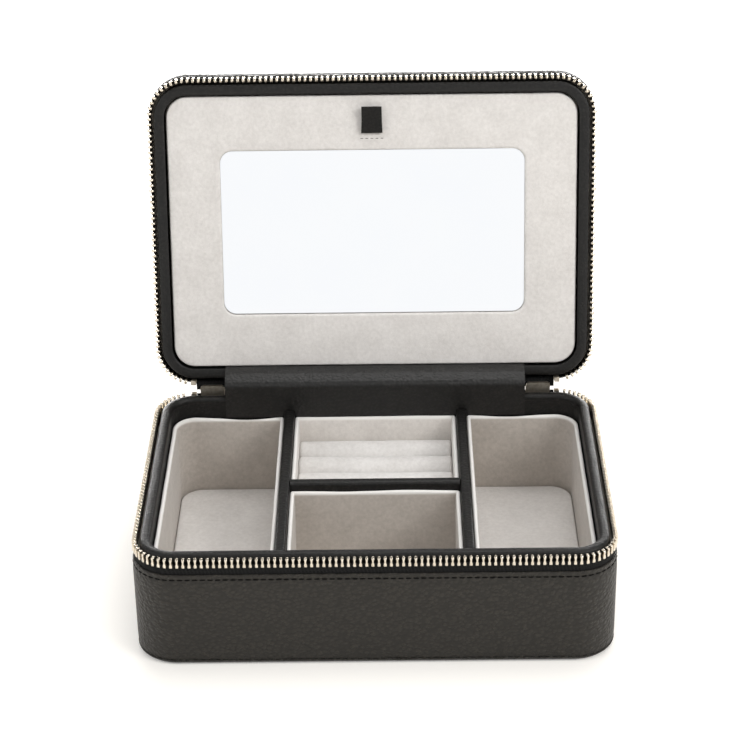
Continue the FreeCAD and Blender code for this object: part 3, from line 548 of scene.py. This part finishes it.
# Pale colour of the painted highlight along the suede's top edge
PAINTED_EDGE_HIGHLIGHT = (0.8, 0.78, 0.75)
CASE_LEATHER = leather_material("case_leather", CASE_TONES, pebble=1.6 * MM, depth=0.6 * MM, rough=0.48,
                                shine=0.32)
TRIM_LEATHER = leather_material("trim_leather", TRIM_TONES, pebble=1.1 * MM, depth=0.12 * MM, rough=0.45,
                                shine=0.3)
FLAP_LEATHER = leather_material("flap_leather", TRIM_TONES, pebble=1.2 * MM, depth=0.17 * MM, rough=0.4,
                                shine=0.42, source="UV")
TAB_LEATHER = leather_material("tab_leather", TRIM_TONES, pebble=0.9 * MM, depth=0.12 * MM, rough=0.5,
                               shine=0.2, source="UV")
SUEDE = suede_material("suede", (0.62, 0.595, 0.57), (0.77, 0.745, 0.72))
# Painted shade: the tray walls take a darker, warmer copy of the suede than the floor pads, standing in for
# the shade inside the trays
SHADED_TRAY_SUEDE = suede_material("shaded_tray_suede", (0.39, 0.352, 0.314), (0.525, 0.48, 0.432), LINER_TOP)
RING_SUEDE = suede_material("ring_suede", (0.6, 0.565, 0.53), (0.75, 0.715, 0.675), LINER_TOP)
ROLL_SUEDE = suede_material("roll_suede", (0.56, 0.54, 0.52), (0.7, 0.68, 0.66))
TAPE_CLOTH = tape_material("zip_tape")
TAIL_CLOTH = tape_material("zip_tape_tail", "UV")
NICKEL = nickel_material("nickel", polished=0.16, wear_and_painted_highlight=0.32)
SATIN_NICKEL = nickel_material("satin_nickel", polished=0.4, wear_and_painted_highlight=0.55)
MIRROR = mirror_material()
BOARD = board_material()
FOAM = foam_material()
THREAD_BLACK = thread_material("thread_black", (0.002, 0.002, 0.002), (0.007, 0.0065, 0.006))
THREAD_GREY = thread_material("thread_grey", (0.1, 0.095, 0.09), (0.22, 0.21, 0.2))


# Outside leather, seams and stitching
def leather_band(name, top, seam, up, in_lid, replaces):
    """The sewn band round the case: a turned edge by the zip, a stitch groove, a flat face and a seam."""
    fold = LEATHER / 2
    groove = top - up * STITCH_DROP
    groove_half = 2 * THREAD
    flat_shares = (0.12, 0.5, 0.88)
    face = [(SEAM_GROOVE, seam), (SEAM_GROOVE / 3, seam + up * SEAM_GROOVE)]
    face += [(0.0, seam + (groove - seam) * share) for share in flat_shares]
    face += [(SEAM_GROOVE / 2, groove - up * groove_half), (SEAM_GROOVE, groove),
             (SEAM_GROOVE / 2, groove + up * groove_half), (SEAM_GROOVE / 3, groove + up * STITCH_DROP / 2),
             (SEAM_GROOVE / 2, top - up * fold)]
    edge = round_over(SEAM_GROOVE / 2, top, fold, up * fold, HALF_ROUND)
    back = [(LEATHER + SEAM_GROOVE / 2, top - up * fold), (LEATHER, groove), (LEATHER, seam)]
    points, faces = swept_ring(face + edge + back)
    add_half(name, wrinkled(points, "band"), faces, CASE_LEATHER, in_lid, replaces, "case_leather")

    rows = (("_stitching", SEAM_GROOVE - THREAD / 2, groove, 0.0),
            ("_seam_stitching", SEAM_GROOVE, seam + up * THREAD, 0.5))
    for label, inset, height, shift_share in rows:
        row = spaced(plan_loop(*CASE_PLAN, inset), STITCH_PITCH, 0.0, shift_share)
        points, faces = stamped(stitch(), row, height)
        add_half(name + label, points, faces, THREAD_BLACK, in_lid, slot="case_leather")


def stitch():
    """One stitch, thick in the middle and dipping into the leather at both ends."""
    sections, sides, end_share = 7, 6, 0.05
    angles = np.radians(np.arange(sides) * 360 / sides)
    rings = []
    for share in np.linspace(-1, 1, sections):
        radius = THREAD * math.sqrt(max(1 - share ** 4, end_share))
        rings.append(np.column_stack([np.full(sides, share * STITCH_LENGTH / 2), radius * np.cos(angles),
                                      radius * np.sin(angles)]))
    return loft(rings, wrap_rings=False, caps=True)


def leather_panel(name, seam, face, in_lid, replaces):
    """The leather panel that closes the bottom or the top: a rounded rim, and a faint crown on the lid."""
    away = 1 if face > seam else -1
    rim = 2.2 * MM
    crown, turn_in = (0.35 * MM, rim) if in_lid else (0.0, 4.2 * MM)
    crown_reach = CORNER - MM
    crown_depths = np.array((5, 8, 12, 15, 17)) * MM
    level = face - away * crown
    section = [(SEAM_GROOVE, seam), (SEAM_GROOVE / 4, seam + away * SEAM_GROOVE)]
    section += round_over(0.0, level, turn_in, away * rim, np.radians(np.arange(0, 91, 18)))
    section += [(depth, level + away * crown * math.sin(math.pi / 2 * depth / crown_reach))
                for depth in crown_depths]
    points, faces = loft(stacked(section, *CASE_PLAN), wrap_rings=False, caps=True)
    add_half(name, points, faces, CASE_LEATHER, in_lid, replaces, "case_leather")


# Zip: tapes and teeth
def zip_tape(name, foot, edge, in_lid, replaces):
    """The woven tape, with the corded edge that the teeth grip."""
    up = 1 if edge > foot else -1
    cord_share = 0.75
    cord = TAPE * cord_share
    web_edge = edge - up * 3 * cord
    bead_angles = np.radians((-40, 0, 45, 90, 135, 180, 220))
    face = [(TAPE_INSET, foot), (TAPE_INSET, web_edge)]
    bead = round_over(TAPE_MIDDLE - cord, edge, cord, up * cord, bead_angles)
    back = [(BOARD_INSET, web_edge), (BOARD_INSET, foot)]
    points, faces = swept_ring(face + bead + back, closed=False)
    add_half(name, points, faces, TAPE_CLOTH, in_lid, replaces, "zip_tape")


def tooth(up):
    """A stamped tooth: a clamped foot, a waist and a domed round head, with its edges eased."""
    length = TEETH_TIP - TEETH_FOOT
    foot, waist, head = 0.66 * MM, 0.45 * MM, 0.62 * MM
    half, ease, dome = 1.0 * MM, 0.2 * MM, 0.75 * MM
    foot_ease, foot_top, waist_start = 0.25 * MM, 1.3 * MM, 2.0 * MM
    heel_share, dome_share = 0.8, 1.6
    bow = [(head * math.cos(angle), length - head + head * math.sin(angle))
           for angle in np.radians((-40, -10, 20, 55, 90))]
    side = [(foot * heel_share, 0.0), (foot, foot_ease), (foot, foot_top), (waist, waist_start),
            (waist, length - 2 * head)] + bow
    outline = np.array(side + [(-x, z) for x, z in side[-2::-1]])
    lines = outline - np.array([0.0, length / 2])
    outward = lines / np.linalg.norm(lines, axis=1)[:, None]
    dome_start = length - dome_share * head
    rings = []
    for y, inset in ((-half, ease), (ease - half, 0.0), (0.0, 0.0), (half - ease, 0.0), (half, ease)):
        ring = outline - outward * inset
        over = np.clip((ring[:, 1] - dome_start) / (length - dome_start), 0, 1)
        height = ring[:, 1] - over * dome * (y / half) ** 2
        rings.append(np.column_stack([ring[:, 0], np.full(len(ring), y), up * height]))
    return loft(rings, wrap_rings=False, caps=True)


def zip_teeth(name, foot, up, shift_share, in_lid, replaces):
    path = plan_loop(*CASE_PLAN, TAPE_MIDDLE, closed=False)
    row = spaced(path, TOOTH_PITCH, TOOTH_STOP + TOOTH_PITCH / 2, shift_share)
    points, faces = stamped(tooth(up), row, foot)
    add_half(name, points, faces, NICKEL, in_lid, replaces, "nickel", sharp=50)


# Padded lip inside the zip
def collar(name, lip, foot, bead, in_lid, replaces):
    """The leather lip: a rounded edge over the collar board, with the inner face drawn in below it."""
    up = 1 if lip > foot else -1
    half = (COLLAR_INNER - COLLAR_OUTER) / 2
    middle = (COLLAR_INNER + COLLAR_OUTER) / 2
    draw_in, first_share, fullness = 0.45 * MM, 0.4, 0.75
    neck_drop, neck_above, neck_below, hollow = 1.1 * MM, 0.4 * MM, 0.2 * MM, 4 * MM
    brow = lip - up * bead
    face = [(COLLAR_OUTER, foot), (COLLAR_OUTER, lip - up * 3 * half), (COLLAR_OUTER, brow)]
    roll = []
    for angle in np.radians(np.arange(12, 180, 12)):
        swing, rise = math.cos(angle), math.sin(angle)
        across = math.copysign(abs(swing) ** fullness, swing)
        roll.append((middle - half * across, lip - up * bead * (1 - rise ** fullness)))
    neck = lip - up * (bead + neck_drop)
    back = [(COLLAR_INNER, brow), (COLLAR_INNER - draw_in * first_share, neck + up * neck_above),
            (COLLAR_INNER - draw_in, neck - up * neck_below), (COLLAR_INNER - draw_in, neck - up * hollow),
            (COLLAR_INNER, foot)]
    points, faces = swept_ring(face + roll + back)
    piece = add_half(name, wrinkled(points, "lip"), faces, TRIM_LEATHER, in_lid, replaces, "trim_leather")


# Trays
def divider(name, node, along):
    """A board in leather: a rounded top edge and square ends."""
    low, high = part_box(node)
    across = 1 - along
    half = (high[across] - low[across]) / 2
    middle = (high[across] + low[across]) / 2
    round_share, foot_radius, steps = 0.62, 0.1 * MM, 40
    round_top = half * round_share
    corners = [(-half, low.z), (-half, high.z), (half, high.z), (half, low.z)]
    outline = rounded_path([(0.0, low.z), *corners, (0.0, low.z)],
                           [foot_radius, round_top, round_top, foot_radius], steps=5)[1:-1]
    rings = []
    for spot in np.linspace(low[along], high[along], steps):
        ring = np.zeros((len(outline), 3))
        ring[:, along] = spot
        ring[:, across] = middle + outline[:, 0]
        ring[:, 2] = outline[:, 1]
        rings.append(ring)
    points, faces = loft(rings, wrap_rings=False, caps=True)
    swell = wrinkled(points, "divider")
    swell[:, along] = points[:, along]
    add_piece(name, swell, faces, TRIM_LEATHER, "base", [node], "trim_leather")


def at_corners(node):
    """Whether a tray reaches the case's left corners, and its right ones."""
    low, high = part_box(node)
    return low.x < -CHAIN_END, high.x > CHAIN_END


def tray_corners(node):
    """Corner radii of a tray's liner: round against the case's corners and tight against a divider."""
    tight, outer = 1.2 * MM, CORNER - LINER_INSET
    left, right = (outer if at_corner else tight for at_corner in at_corners(node))
    return [left, left, right, right]


def liner(name, node, material):
    """Suede-covered walls round a tray, with a soft top edge that waves and, at the back, sags a little."""
    low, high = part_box(node)
    middle = (low.z + high.z) / 2
    wall = 1.7 * MM
    edge = wall / 2
    upper_share, middle_share = 1.15, 1.1
    section = [(0.0, low.z), (0.0, middle), (0.0, high.z - edge)]
    section += round_over(0.0, high.z, edge, edge, HALF_ROUND)
    section += [(wall, high.z - edge), (wall * upper_share, high.z - 4 * edge), (wall * middle_share, middle),
                (wall, low.z)]
    points, faces = loft(stacked(section, low, high, tray_corners(node)))
    wave, wave_span, sag, sag_strip, sag_lean = 0.5 * MM, 24 * MM, 0.9 * MM, 3 * MM, 1.6
    round_left, round_right = at_corners(node)
    for spot in points:
        share = ((spot[2] - low.z) / (high.z - low.z)) ** 3
        spot[2] += wave * share * noise.noise(Vector((spot[0], spot[1], 0)) / wave_span)
        if (round_left or round_right) and spot[1] > high.y - sag_strip:
            across = (spot[0] - low.x) / (high.x - low.x)
            from_corner = across if round_left else 1 - across
            spot[2] -= sag * share * math.sin(math.pi * min(max(from_corner, 0), 1) ** sag_lean) ** 2
    add_piece(name, wrinkled(points, "liner"), faces, material, "base", [node], "suede")


def pad(name, node, radii, material, crown=PAD_CROWN, slot="suede", in_lid=False):
    """A flat pad with a crown and soft, drawn-in edges."""
    low, high = closed_box(node) if in_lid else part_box(node)
    thick = high.z - low.z
    edge_share, tuck_share, belly_share = 0.55, 0.25, 0.3
    crown_shares = (0.05, 0.12, 0.25, 0.45, 0.7, 1.0)
    core = 0.5 * MM
    edge = thick * edge_share
    section = [(tuck_share * edge, low.z), (0.0, low.z + thick * belly_share), (0.0, high.z - edge)]
    section += round_over(0.0, high.z, edge, edge, np.radians((22, 45, 68, 90)))
    reach = min(high.x - low.x, high.y - low.y) / 2 - core
    section += [(edge + (reach - edge) * share, high.z + crown * math.sin(math.pi / 2 * share))
                for share in crown_shares]
    points, faces = loft(stacked(section, low, high, radii), wrap_rings=False, caps=True)
    return add_half(name, wrinkled(points, "pad"), faces, material, in_lid, [node], slot)


def ring_roll(name, node, number):
    """A foam roll in suede: straight sides, a full round crown and soft ends."""
    low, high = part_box(node)
    middle = (low.y + high.y) / 2
    radius = (high.y - low.y) / 2
    foot, spring = low.z, high.z - radius
    waist = (foot + spring) / 2
    ease, steps = 1.6 * MM, 40
    section = [(-radius, foot), (-radius, waist), (-radius, spring)]
    section += [(-radius * math.cos(angle), spring + radius * math.sin(angle))
                for angle in np.radians(np.arange(10, 180, 10))]
    section += [(radius, spring), (radius, waist), (radius, foot)]
    centre = np.array([0.0, waist])
    lines = np.array(section) - centre
    end_steps = ease * (1 - np.cos(np.radians((0, 25, 50, 70))))
    rings = []
    for x in np.concatenate([low.x + end_steps, np.linspace(low.x + ease, high.x - ease, steps),
                             high.x - end_steps[::-1]]):
        end = max(ease - (x - low.x), ease - (high.x - x), 0.0) / ease
        draw_in = (1 - math.sqrt(max(1 - end ** 2, 0.0))) * ease
        ring = centre + lines * (1 - draw_in / np.linalg.norm(lines, axis=1))[:, None]
        rings.append(np.column_stack([np.full(len(ring), x), middle + ring[:, 0], ring[:, 1]]))
    points, faces = loft(rings, wrap_rings=False, caps=True)
    piece = add_piece(name, wrinkled(points, "roll", number), faces, ROLL_SUEDE, "base", [node], "suede")


# Mirror panel in the lid
def panel_face():
    """Padded suede round the mirror: it rolls over the panel's rim and down into the mirror's window."""
    window_gap, top_gap = 0.1 * MM, 0.5 * MM
    rim, roll, crown, steps = 0.8 * MM, 1.3 * MM, 0.2 * MM, 12
    front, back = PANEL_LOW.z, PANEL_HIGH.z
    sink = MIRROR_LOW.z - front
    outline = (PANEL_LOW, PANEL_HIGH, (CORNER - PANEL_INSET,) * 4)
    window = (MIRROR_LOW - Vector((window_gap, window_gap, 0)),
              MIRROR_HIGH + Vector((window_gap, top_gap, 0)), (MIRROR_RADIUS,) * 4)
    rings = [at_height(plan_loop(*outline), back)]
    rings += stacked(round_over(0.0, front, rim, -rim, QUARTER_ROUND), *outline)
    edge, brink = plan_loop(*outline, rim), plan_loop(*window, -roll)
    for share in np.linspace(0, 1, steps)[1:-1]:
        rings.append(at_height(edge + (brink - edge) * share, front - crown * math.sin(math.pi * share)))
    rings += stacked([(-roll + roll * math.sin(angle), front + sink * (1 - math.cos(angle)))
                      for angle in QUARTER_ROUND], *window)
    rings.append(at_height(plan_loop(*window), back))
    points, faces = loft(rings)
    points = wrinkled(points, "panel")
    piece = add_half("mirror_panel_face", points, faces, SUEDE, True, ["panel_suede"], "suede")


def pull_tab():
    """A folded leather tab, sewn through the panel at its root, with the stitches below it."""
    root = Vector(JOINTS["pull_tab_fold"]["pos_m"])
    low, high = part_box("pull_tab")
    skin, loop, root_gap = 0.8 * MM, 0.75 * MM, 0.6 * MM
    front_root, front_waist = 0.35 * MM, 0.5 * MM
    back_root, back_waist = 0.4 * MM, 0.55 * MM
    shoulder_bend, waist_bend = 1.0 * MM, 3.0 * MM
    flare_share, flared_share = 0.06, 0.3
    lean = math.radians(5)
    reach = high.z - root.z
    waist, shoulder, tip = reach / 2, reach - 2 * loop, reach - skin / 2
    legs = rounded_path([(-front_root, root_gap), (-front_waist, waist), (-loop, shoulder), (-loop, tip),
                         (loop, tip), (loop, shoulder), (back_waist, waist), (back_root, root_gap)],
                        [waist_bend, shoulder_bend, loop, loop, shoulder_bend, waist_bend], steps=7)
    spin = np.array([[math.cos(lean), math.sin(lean)], [-math.sin(lean), math.cos(lean)]])
    centre = np.array([(low.y + high.y) / 2 - reach / 2 * math.sin(lean), root.z])
    points, faces, uvs = ribbon(legs @ spin.T + centre, skin, low.x, high.x, steps=10)
    points[:, 0] *= 1 + flare_share * (1 - np.clip((points[:, 2] - root.z) / (flared_share * reach), 0, 1))
    add_piece("pull_tab_strap", wrinkled(points, "strap"), faces, TAB_LEATHER,
              "pull_tab", ["pull_tab"], "trim_leather", uvs=uvs)

    stitches, stitch_gap = 5, 2.4 * MM
    fine_share, proud_share = 0.62, 0.4
    closed_root = turned([root], CLOSE_LID)[0]
    row = [((x, closed_root[1] + stitch_gap), 0.0) for x in np.linspace(low.x, high.x, stitches)]
    points, faces = stitch()
    height = PANEL_LOW.z - THREAD * fine_share * proud_share
    points, faces = stamped((points * fine_share, faces), row, height)
    add_half("pull_tab_stitches", points, faces, THREAD_GREY, True, slot="suede")


# Leather and tape at the hinge
def lid_section(y, z):
    """Where a point of the closed lid's section stands with the lid open."""
    spot = turned([(0.0, y, z)], OPEN_LID)[0]
    return spot[1:]


def lid_leg(sewn, upright):
    """The leg sewn into the lid's band: the band's edge, the leg's end and where it meets an upright line."""
    edge, end = lid_section(sewn, LID_LEATHER_EDGE), lid_section(sewn, LID_SEAM - SEWN_GAP)
    back = (edge - end) / np.linalg.norm(edge - end)
    return edge, end, edge + back * (upright - edge[0]) / back[0]


def hinge_flap():
    """The leather flap inside: up behind the ring tray, bent over to the lid and under the mirror panel."""
    low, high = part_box("hinge_flap")
    skin, lip_gap = 0.7 * MM, 0.4 * MM
    spring_rise, crest_rise = 2.7 * MM, 8.0 * MM
    shelf_run, shelf_rise = 4.8 * MM, 2.5 * MM
    landing_depth, tuck_depth = 1.0 * MM, 6.0 * MM
    bends = np.array([2.8, 5.0, 2.0]) * MM
    wall = HALF_DEPTH - COLLAR_INNER - lip_gap
    spring, crest = LIP_TOP + spring_rise, LIP_TOP + crest_rise
    shelf = (wall + shelf_run, crest + shelf_rise)
    landing, tuck = lid_section(wall, LID_LIP + landing_depth), lid_section(wall, LID_LIP + tuck_depth)
    foot = [(wall, height) for height in np.linspace(low.z, spring, 6)[:-1]]
    bow = rounded_path([(wall, spring), (wall, crest), shelf, landing, tuck], bends, steps=8)
    path = np.concatenate([foot, bow])
    points, faces, uvs = ribbon(path, skin, low.x, high.x, steps=60)
    piece = add_piece("hinge_flap_leather", wrinkled(points, "flap"), faces, FLAP_LEATHER, None,
                      ["hinge_flap"], "trim_leather", uvs=uvs)
    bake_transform(piece)


def hinge_spine():
    """The leather spine outside, sewn in under the bands of the base and the lid."""
    low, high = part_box("hinge_spine")
    bend = 5.7 * MM
    sewn = HALF_DEPTH - TAPE_MIDDLE
    lid_edge, lid_end, corner = lid_leg(sewn, sewn)
    path = rounded_path([(sewn, low.z), (sewn, LEATHER_TOP), corner, lid_end], [0.0, bend], steps=14)
    points, faces, uvs = ribbon(path, TAPE, low.x, high.x, steps=50)
    piece = add_piece("hinge_spine_leather", wrinkled(points, "spine"), faces, FLAP_LEATHER, None,
                      ["hinge_spine"], "trim_leather", uvs=uvs)
    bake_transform(piece)


def tape_tails():
    """Bare tape from the base and from the lid into each slider."""
    low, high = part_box("base_tape_tails")
    lid_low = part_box("lid_tape_tails")[0]
    flap_gap = 0.5 * MM
    step_start, step_end, step_bend, lid_bend = 0.3 * MM, 2.3 * MM, 0.6 * MM, 2.0 * MM
    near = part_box("hinge_flap")[1].x + flap_gap
    sewn = HALF_DEPTH - TAPE_MIDDLE
    middle = high.y - TAPE / 2
    base_path = rounded_path([(sewn, low.z), (sewn, LEATHER_TOP + step_start),
                              (middle, LEATHER_TOP + step_end), (middle, high.z)], [step_bend, step_bend])
    lid_edge, lid_end, corner = lid_leg(sewn, middle)
    lid_path = rounded_path([(middle, lid_low.z), corner, lid_end], [lid_bend], steps=10)
    for side, reach in (("left", (-CHAIN_END, -near)), ("right", (near, CHAIN_END))):
        for half, path, body in (("base", base_path, "base"), ("lid", lid_path, None)):
            points, faces, uvs = ribbon(path, TAPE, *reach, steps=6)
            tail = add_piece(f"{side}_{half}_tail", points, faces, TAIL_CLOTH, body, [f"{half}_tape_tails"],
                             "zip_tape", uvs=uvs)
            if half == "lid":
                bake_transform(tail)


def panel_hinge_cloth():
    """The cloth strip behind the mirror panel's foot."""
    low, high = closed_box("panel_hinge_strip")
    length = high.y - low.y
    rows = [(low.y + length * share, (low.z + high.z) / 2) for share in np.linspace(0, 1, 8)]
    points, faces, uvs = ribbon(np.array(rows), high.z - low.z, low.x, high.x, steps=20)
    piece = add_half("panel_hinge_cloth", points, faces, TAIL_CLOTH, True, ["panel_hinge_strip"], "zip_tape",
                     uvs=uvs)


# Pieces that keep their CAD shape
def dress_nodes():
    """Gives each node that stays its material, and eases the edges of the metal."""
    boards = ["base_shell", "base_collar_board", "lid_shell", "lid_collar_board", "lid_inner_frame",
              "panel_board", "left_divider_board", "right_divider_board", "cross_divider_board"]
    metal = ["base_zip_stops", "lid_zip_stops", "left_slider", "left_pull", "right_slider", "right_pull"]
    for names, material in ((boards, BOARD), (metal, SATIN_NICKEL), (["mirror_glass"], MIRROR)):
        for name in names:
            for slot in NODES[name].material_slots:
                slot.material = material
    for name in metal:
        weld = NODES[name].modifiers.new("weld", "WELD")
        weld.merge_threshold = 0.001 * MM
        bevel = NODES[name].modifiers.new("eased_edges", "BEVEL")
        bevel.width = 0.14 * MM
        bevel.segments = 2
        bevel.limit_method = "ANGLE"
        bevel.angle_limit = math.radians(40)


# Stage, light and camera
def add_area(name, place, size, power, colour, target=(0.0, 0.02, 0.08)):
    """A soft rectangular lamp that the camera doesn't see."""
    light = bpy.data.lights.new(name, "AREA")
    light.shape = "RECTANGLE"
    light.size, light.size_y = size
    light.energy = power
    light.color = colour
    lamp = bpy.data.objects.new(name, light)
    lamp.location = place
    lamp.rotation_euler = (Vector(target) - Vector(place)).to_track_quat("-Z", "Y").to_euler()
    lamp.visible_camera = False
    bpy.context.scene.collection.objects.link(lamp)


def make_floor():
    """A white floor that keeps the shadow near the case and is plain white further out."""
    reach, near, far = 1.3, 0.4, 0.8
    near_glow, far_glow = 0.18, 1.0
    mesh = bpy.data.meshes.new("floor")
    mesh.from_pydata([(-reach, -reach, 0), (reach, -reach, 0), (reach, reach, 0), (-reach, reach, 0)], [],
                     [(0, 1, 2, 3)])
    floor = bpy.data.objects.new("floor", mesh)
    bpy.context.scene.collection.objects.link(floor)
    material, tree, shader = new_material("floor")
    path = add_node(tree, "ShaderNodeLightPath", {})
    seen = add_values(tree, path.outputs["Is Camera Ray"], path.outputs["Is Glossy Ray"], "MAXIMUM")
    distance = add_node(tree, "ShaderNodeVectorMath", {0: position(tree)}, operation="LENGTH")
    glow = remap(tree, distance.outputs["Value"], (near, far), (near_glow, far_glow), "SMOOTHSTEP")
    set_inputs(tree, shader, {
        "Base Color": (0.925, 0.898, 0.852, 1.0),
        "Roughness": 0.9,
        "Specular IOR Level": 0.0,
        "Emission Color": (1.0, 1.0, 1.0, 1.0),
        "Emission Strength": add_values(tree, seen, glow, "MULTIPLY"),
    })
    mesh.materials.append(material)


def make_world():
    """A white surround for the camera; reflections find it white at the horizon and dim overhead."""
    scene = bpy.context.scene
    world = bpy.data.worlds.new("surround")
    world.use_nodes = True
    tree = world.node_tree
    white, ambient, dim = 1.0, 0.33, 0.15
    dim_start, dim_end = 0.1, 0.5
    path = add_node(tree, "ShaderNodeLightPath", {})
    height = add_node(tree, "ShaderNodeSeparateXYZ", {0: position(tree, "Generated")}).outputs["Z"]
    mirrored = remap(tree, height, (dim_start, dim_end), (white, dim))
    unseen = mix_values(tree, path.outputs["Is Glossy Ray"], ambient, mirrored)
    strength = mix_values(tree, path.outputs["Is Camera Ray"], unseen, white)
    set_inputs(tree, tree.nodes["Background"], {"Color": (1.0, 1.0, 1.0, 1.0), "Strength": strength})
    scene.world = world
    scene.view_settings.view_transform = "Standard"


def make_lamps():
    """A softbox overhead and a little behind, a key from the right, a weak fill, and bright strips before
    and behind that leather catches as soft highlights."""
    add_area("overhead", place=(0.1, 0.35, 1.2), size=(0.8, 0.8), power=7.5, colour=(1.0, 0.99, 0.98))
    add_area("key", place=(0.95, -0.65, 0.95), size=(0.6, 0.6), power=9.7, colour=(1.0, 0.99, 0.975))
    add_area("fill", place=(-1.0, -0.4, 0.8), size=(0.7, 0.7), power=3.8, colour=(0.98, 0.99, 1.0))
    add_area("front_strip", place=(0.1, -0.95, 0.98), size=(1.4, 0.14), power=3.4, colour=(1.0, 0.995, 0.99))
    add_area("rear_strip", place=(0.0, 1.25, 0.25), size=(1.6, 0.2), power=27.0, colour=(1.0, 0.99, 0.98),
             target=(0.0, 0.1, 0.19))


def make_camera():
    """The photograph's viewpoint: a long lens, a little above and almost square to the front."""
    focal_pixels, image_pixels = 2223.3, 750
    distance = 936.7 * MM
    elevation, azimuth, roll = math.radians(28.60), math.radians(0.54), math.radians(0.86)
    target = Vector((0.7, 0.0, 97.8)) * MM
    back = Vector((math.sin(azimuth) * math.cos(elevation), -math.cos(azimuth) * math.cos(elevation),
                   math.sin(elevation)))
    data = bpy.data.cameras.new("camera")
    data.sensor_width = 36.0
    data.lens = focal_pixels * data.sensor_width / image_pixels
    camera = bpy.data.objects.new("camera", data)
    camera.location = target + back * distance
    level = (-back).to_track_quat("-Z", "Y")
    camera.rotation_euler = (level @ Matrix.Rotation(-roll, 3, "Z").to_quaternion()).to_euler()
    bpy.context.scene.collection.objects.link(camera)
    bpy.context.scene.camera = camera


make_floor()
make_world()
make_lamps()
make_camera()
leather_band("base_leather_band", LEATHER_TOP, SEAM_HEIGHT, 1, False, ["base_side_leather", "base_wadding"])
leather_band("lid_leather_band", LID_LEATHER_EDGE, LID_SEAM, -1, True, ["lid_side_leather"])
leather_panel("base_bottom_panel", SEAM_HEIGHT, 0.0, False, ["base_bottom"])
leather_panel("lid_top_leather", LID_SEAM, LID_TOP, True, ["lid_top_panel"])
zip_tape("base_tape", TAPE_FOOT, TAPE_TOP, False, ["base_zip_tape"])
zip_tape("lid_tape", LID_TAPE_TOP, LID_TAPE_EDGE, True, ["lid_zip_tape"])
zip_teeth("base_teeth", TEETH_FOOT, 1, TOOTH_STAGGER_SHARE, False, ["base_zip_teeth"])
zip_teeth("lid_teeth", LID_TEETH_TIP + TEETH_TIP - TEETH_FOOT, -1, -TOOTH_STAGGER_SHARE, True,
          ["lid_zip_teeth"])
collar("base_lip", LIP_TOP + LIP_SWELL, COLLAR_FOOT, BASE_BEAD, False, ["base_collar_leather"])
collar("lid_lip", LID_LIP, LID_CEILING, LID_BEAD, True, ["lid_collar_leather"])
for divider_node, run_axis in (("left_divider", 1), ("right_divider", 1), ("cross_divider", 0)):
    divider(divider_node + "_leather", divider_node, run_axis)
# The side and front trays' walls take the darker copy of the suede, which is painted shade
for tray in ("left", "right", "front", "ring"):
    liner(tray + "_tray_walls", tray + "_liner", RING_SUEDE if tray == "ring" else SHADED_TRAY_SUEDE)
for tray in ("left", "right", "front"):
    floor_pad = pad(tray + "_tray_floor", tray + "_floor_pad", tray_corners(tray + "_liner"), SUEDE)
riser = pad("ring_riser_block", "ring_riser", (RISER_RADIUS,) * 4, FOAM, crown=0.0, slot="foam")
for roll_number in (1, 2, 3, 4):
    ring_roll(f"ring_roll_{roll_number}_suede", f"ring_roll_{roll_number}", roll_number)
panel_face()
pad("lid_lining_suede", "lid_lining", (CORNER - LINER_INSET,) * 4, SUEDE, crown=0.0, in_lid=True)
panel_hinge_cloth()
pull_tab()
hinge_flap()
hinge_spine()
tape_tails()
dress_nodes()
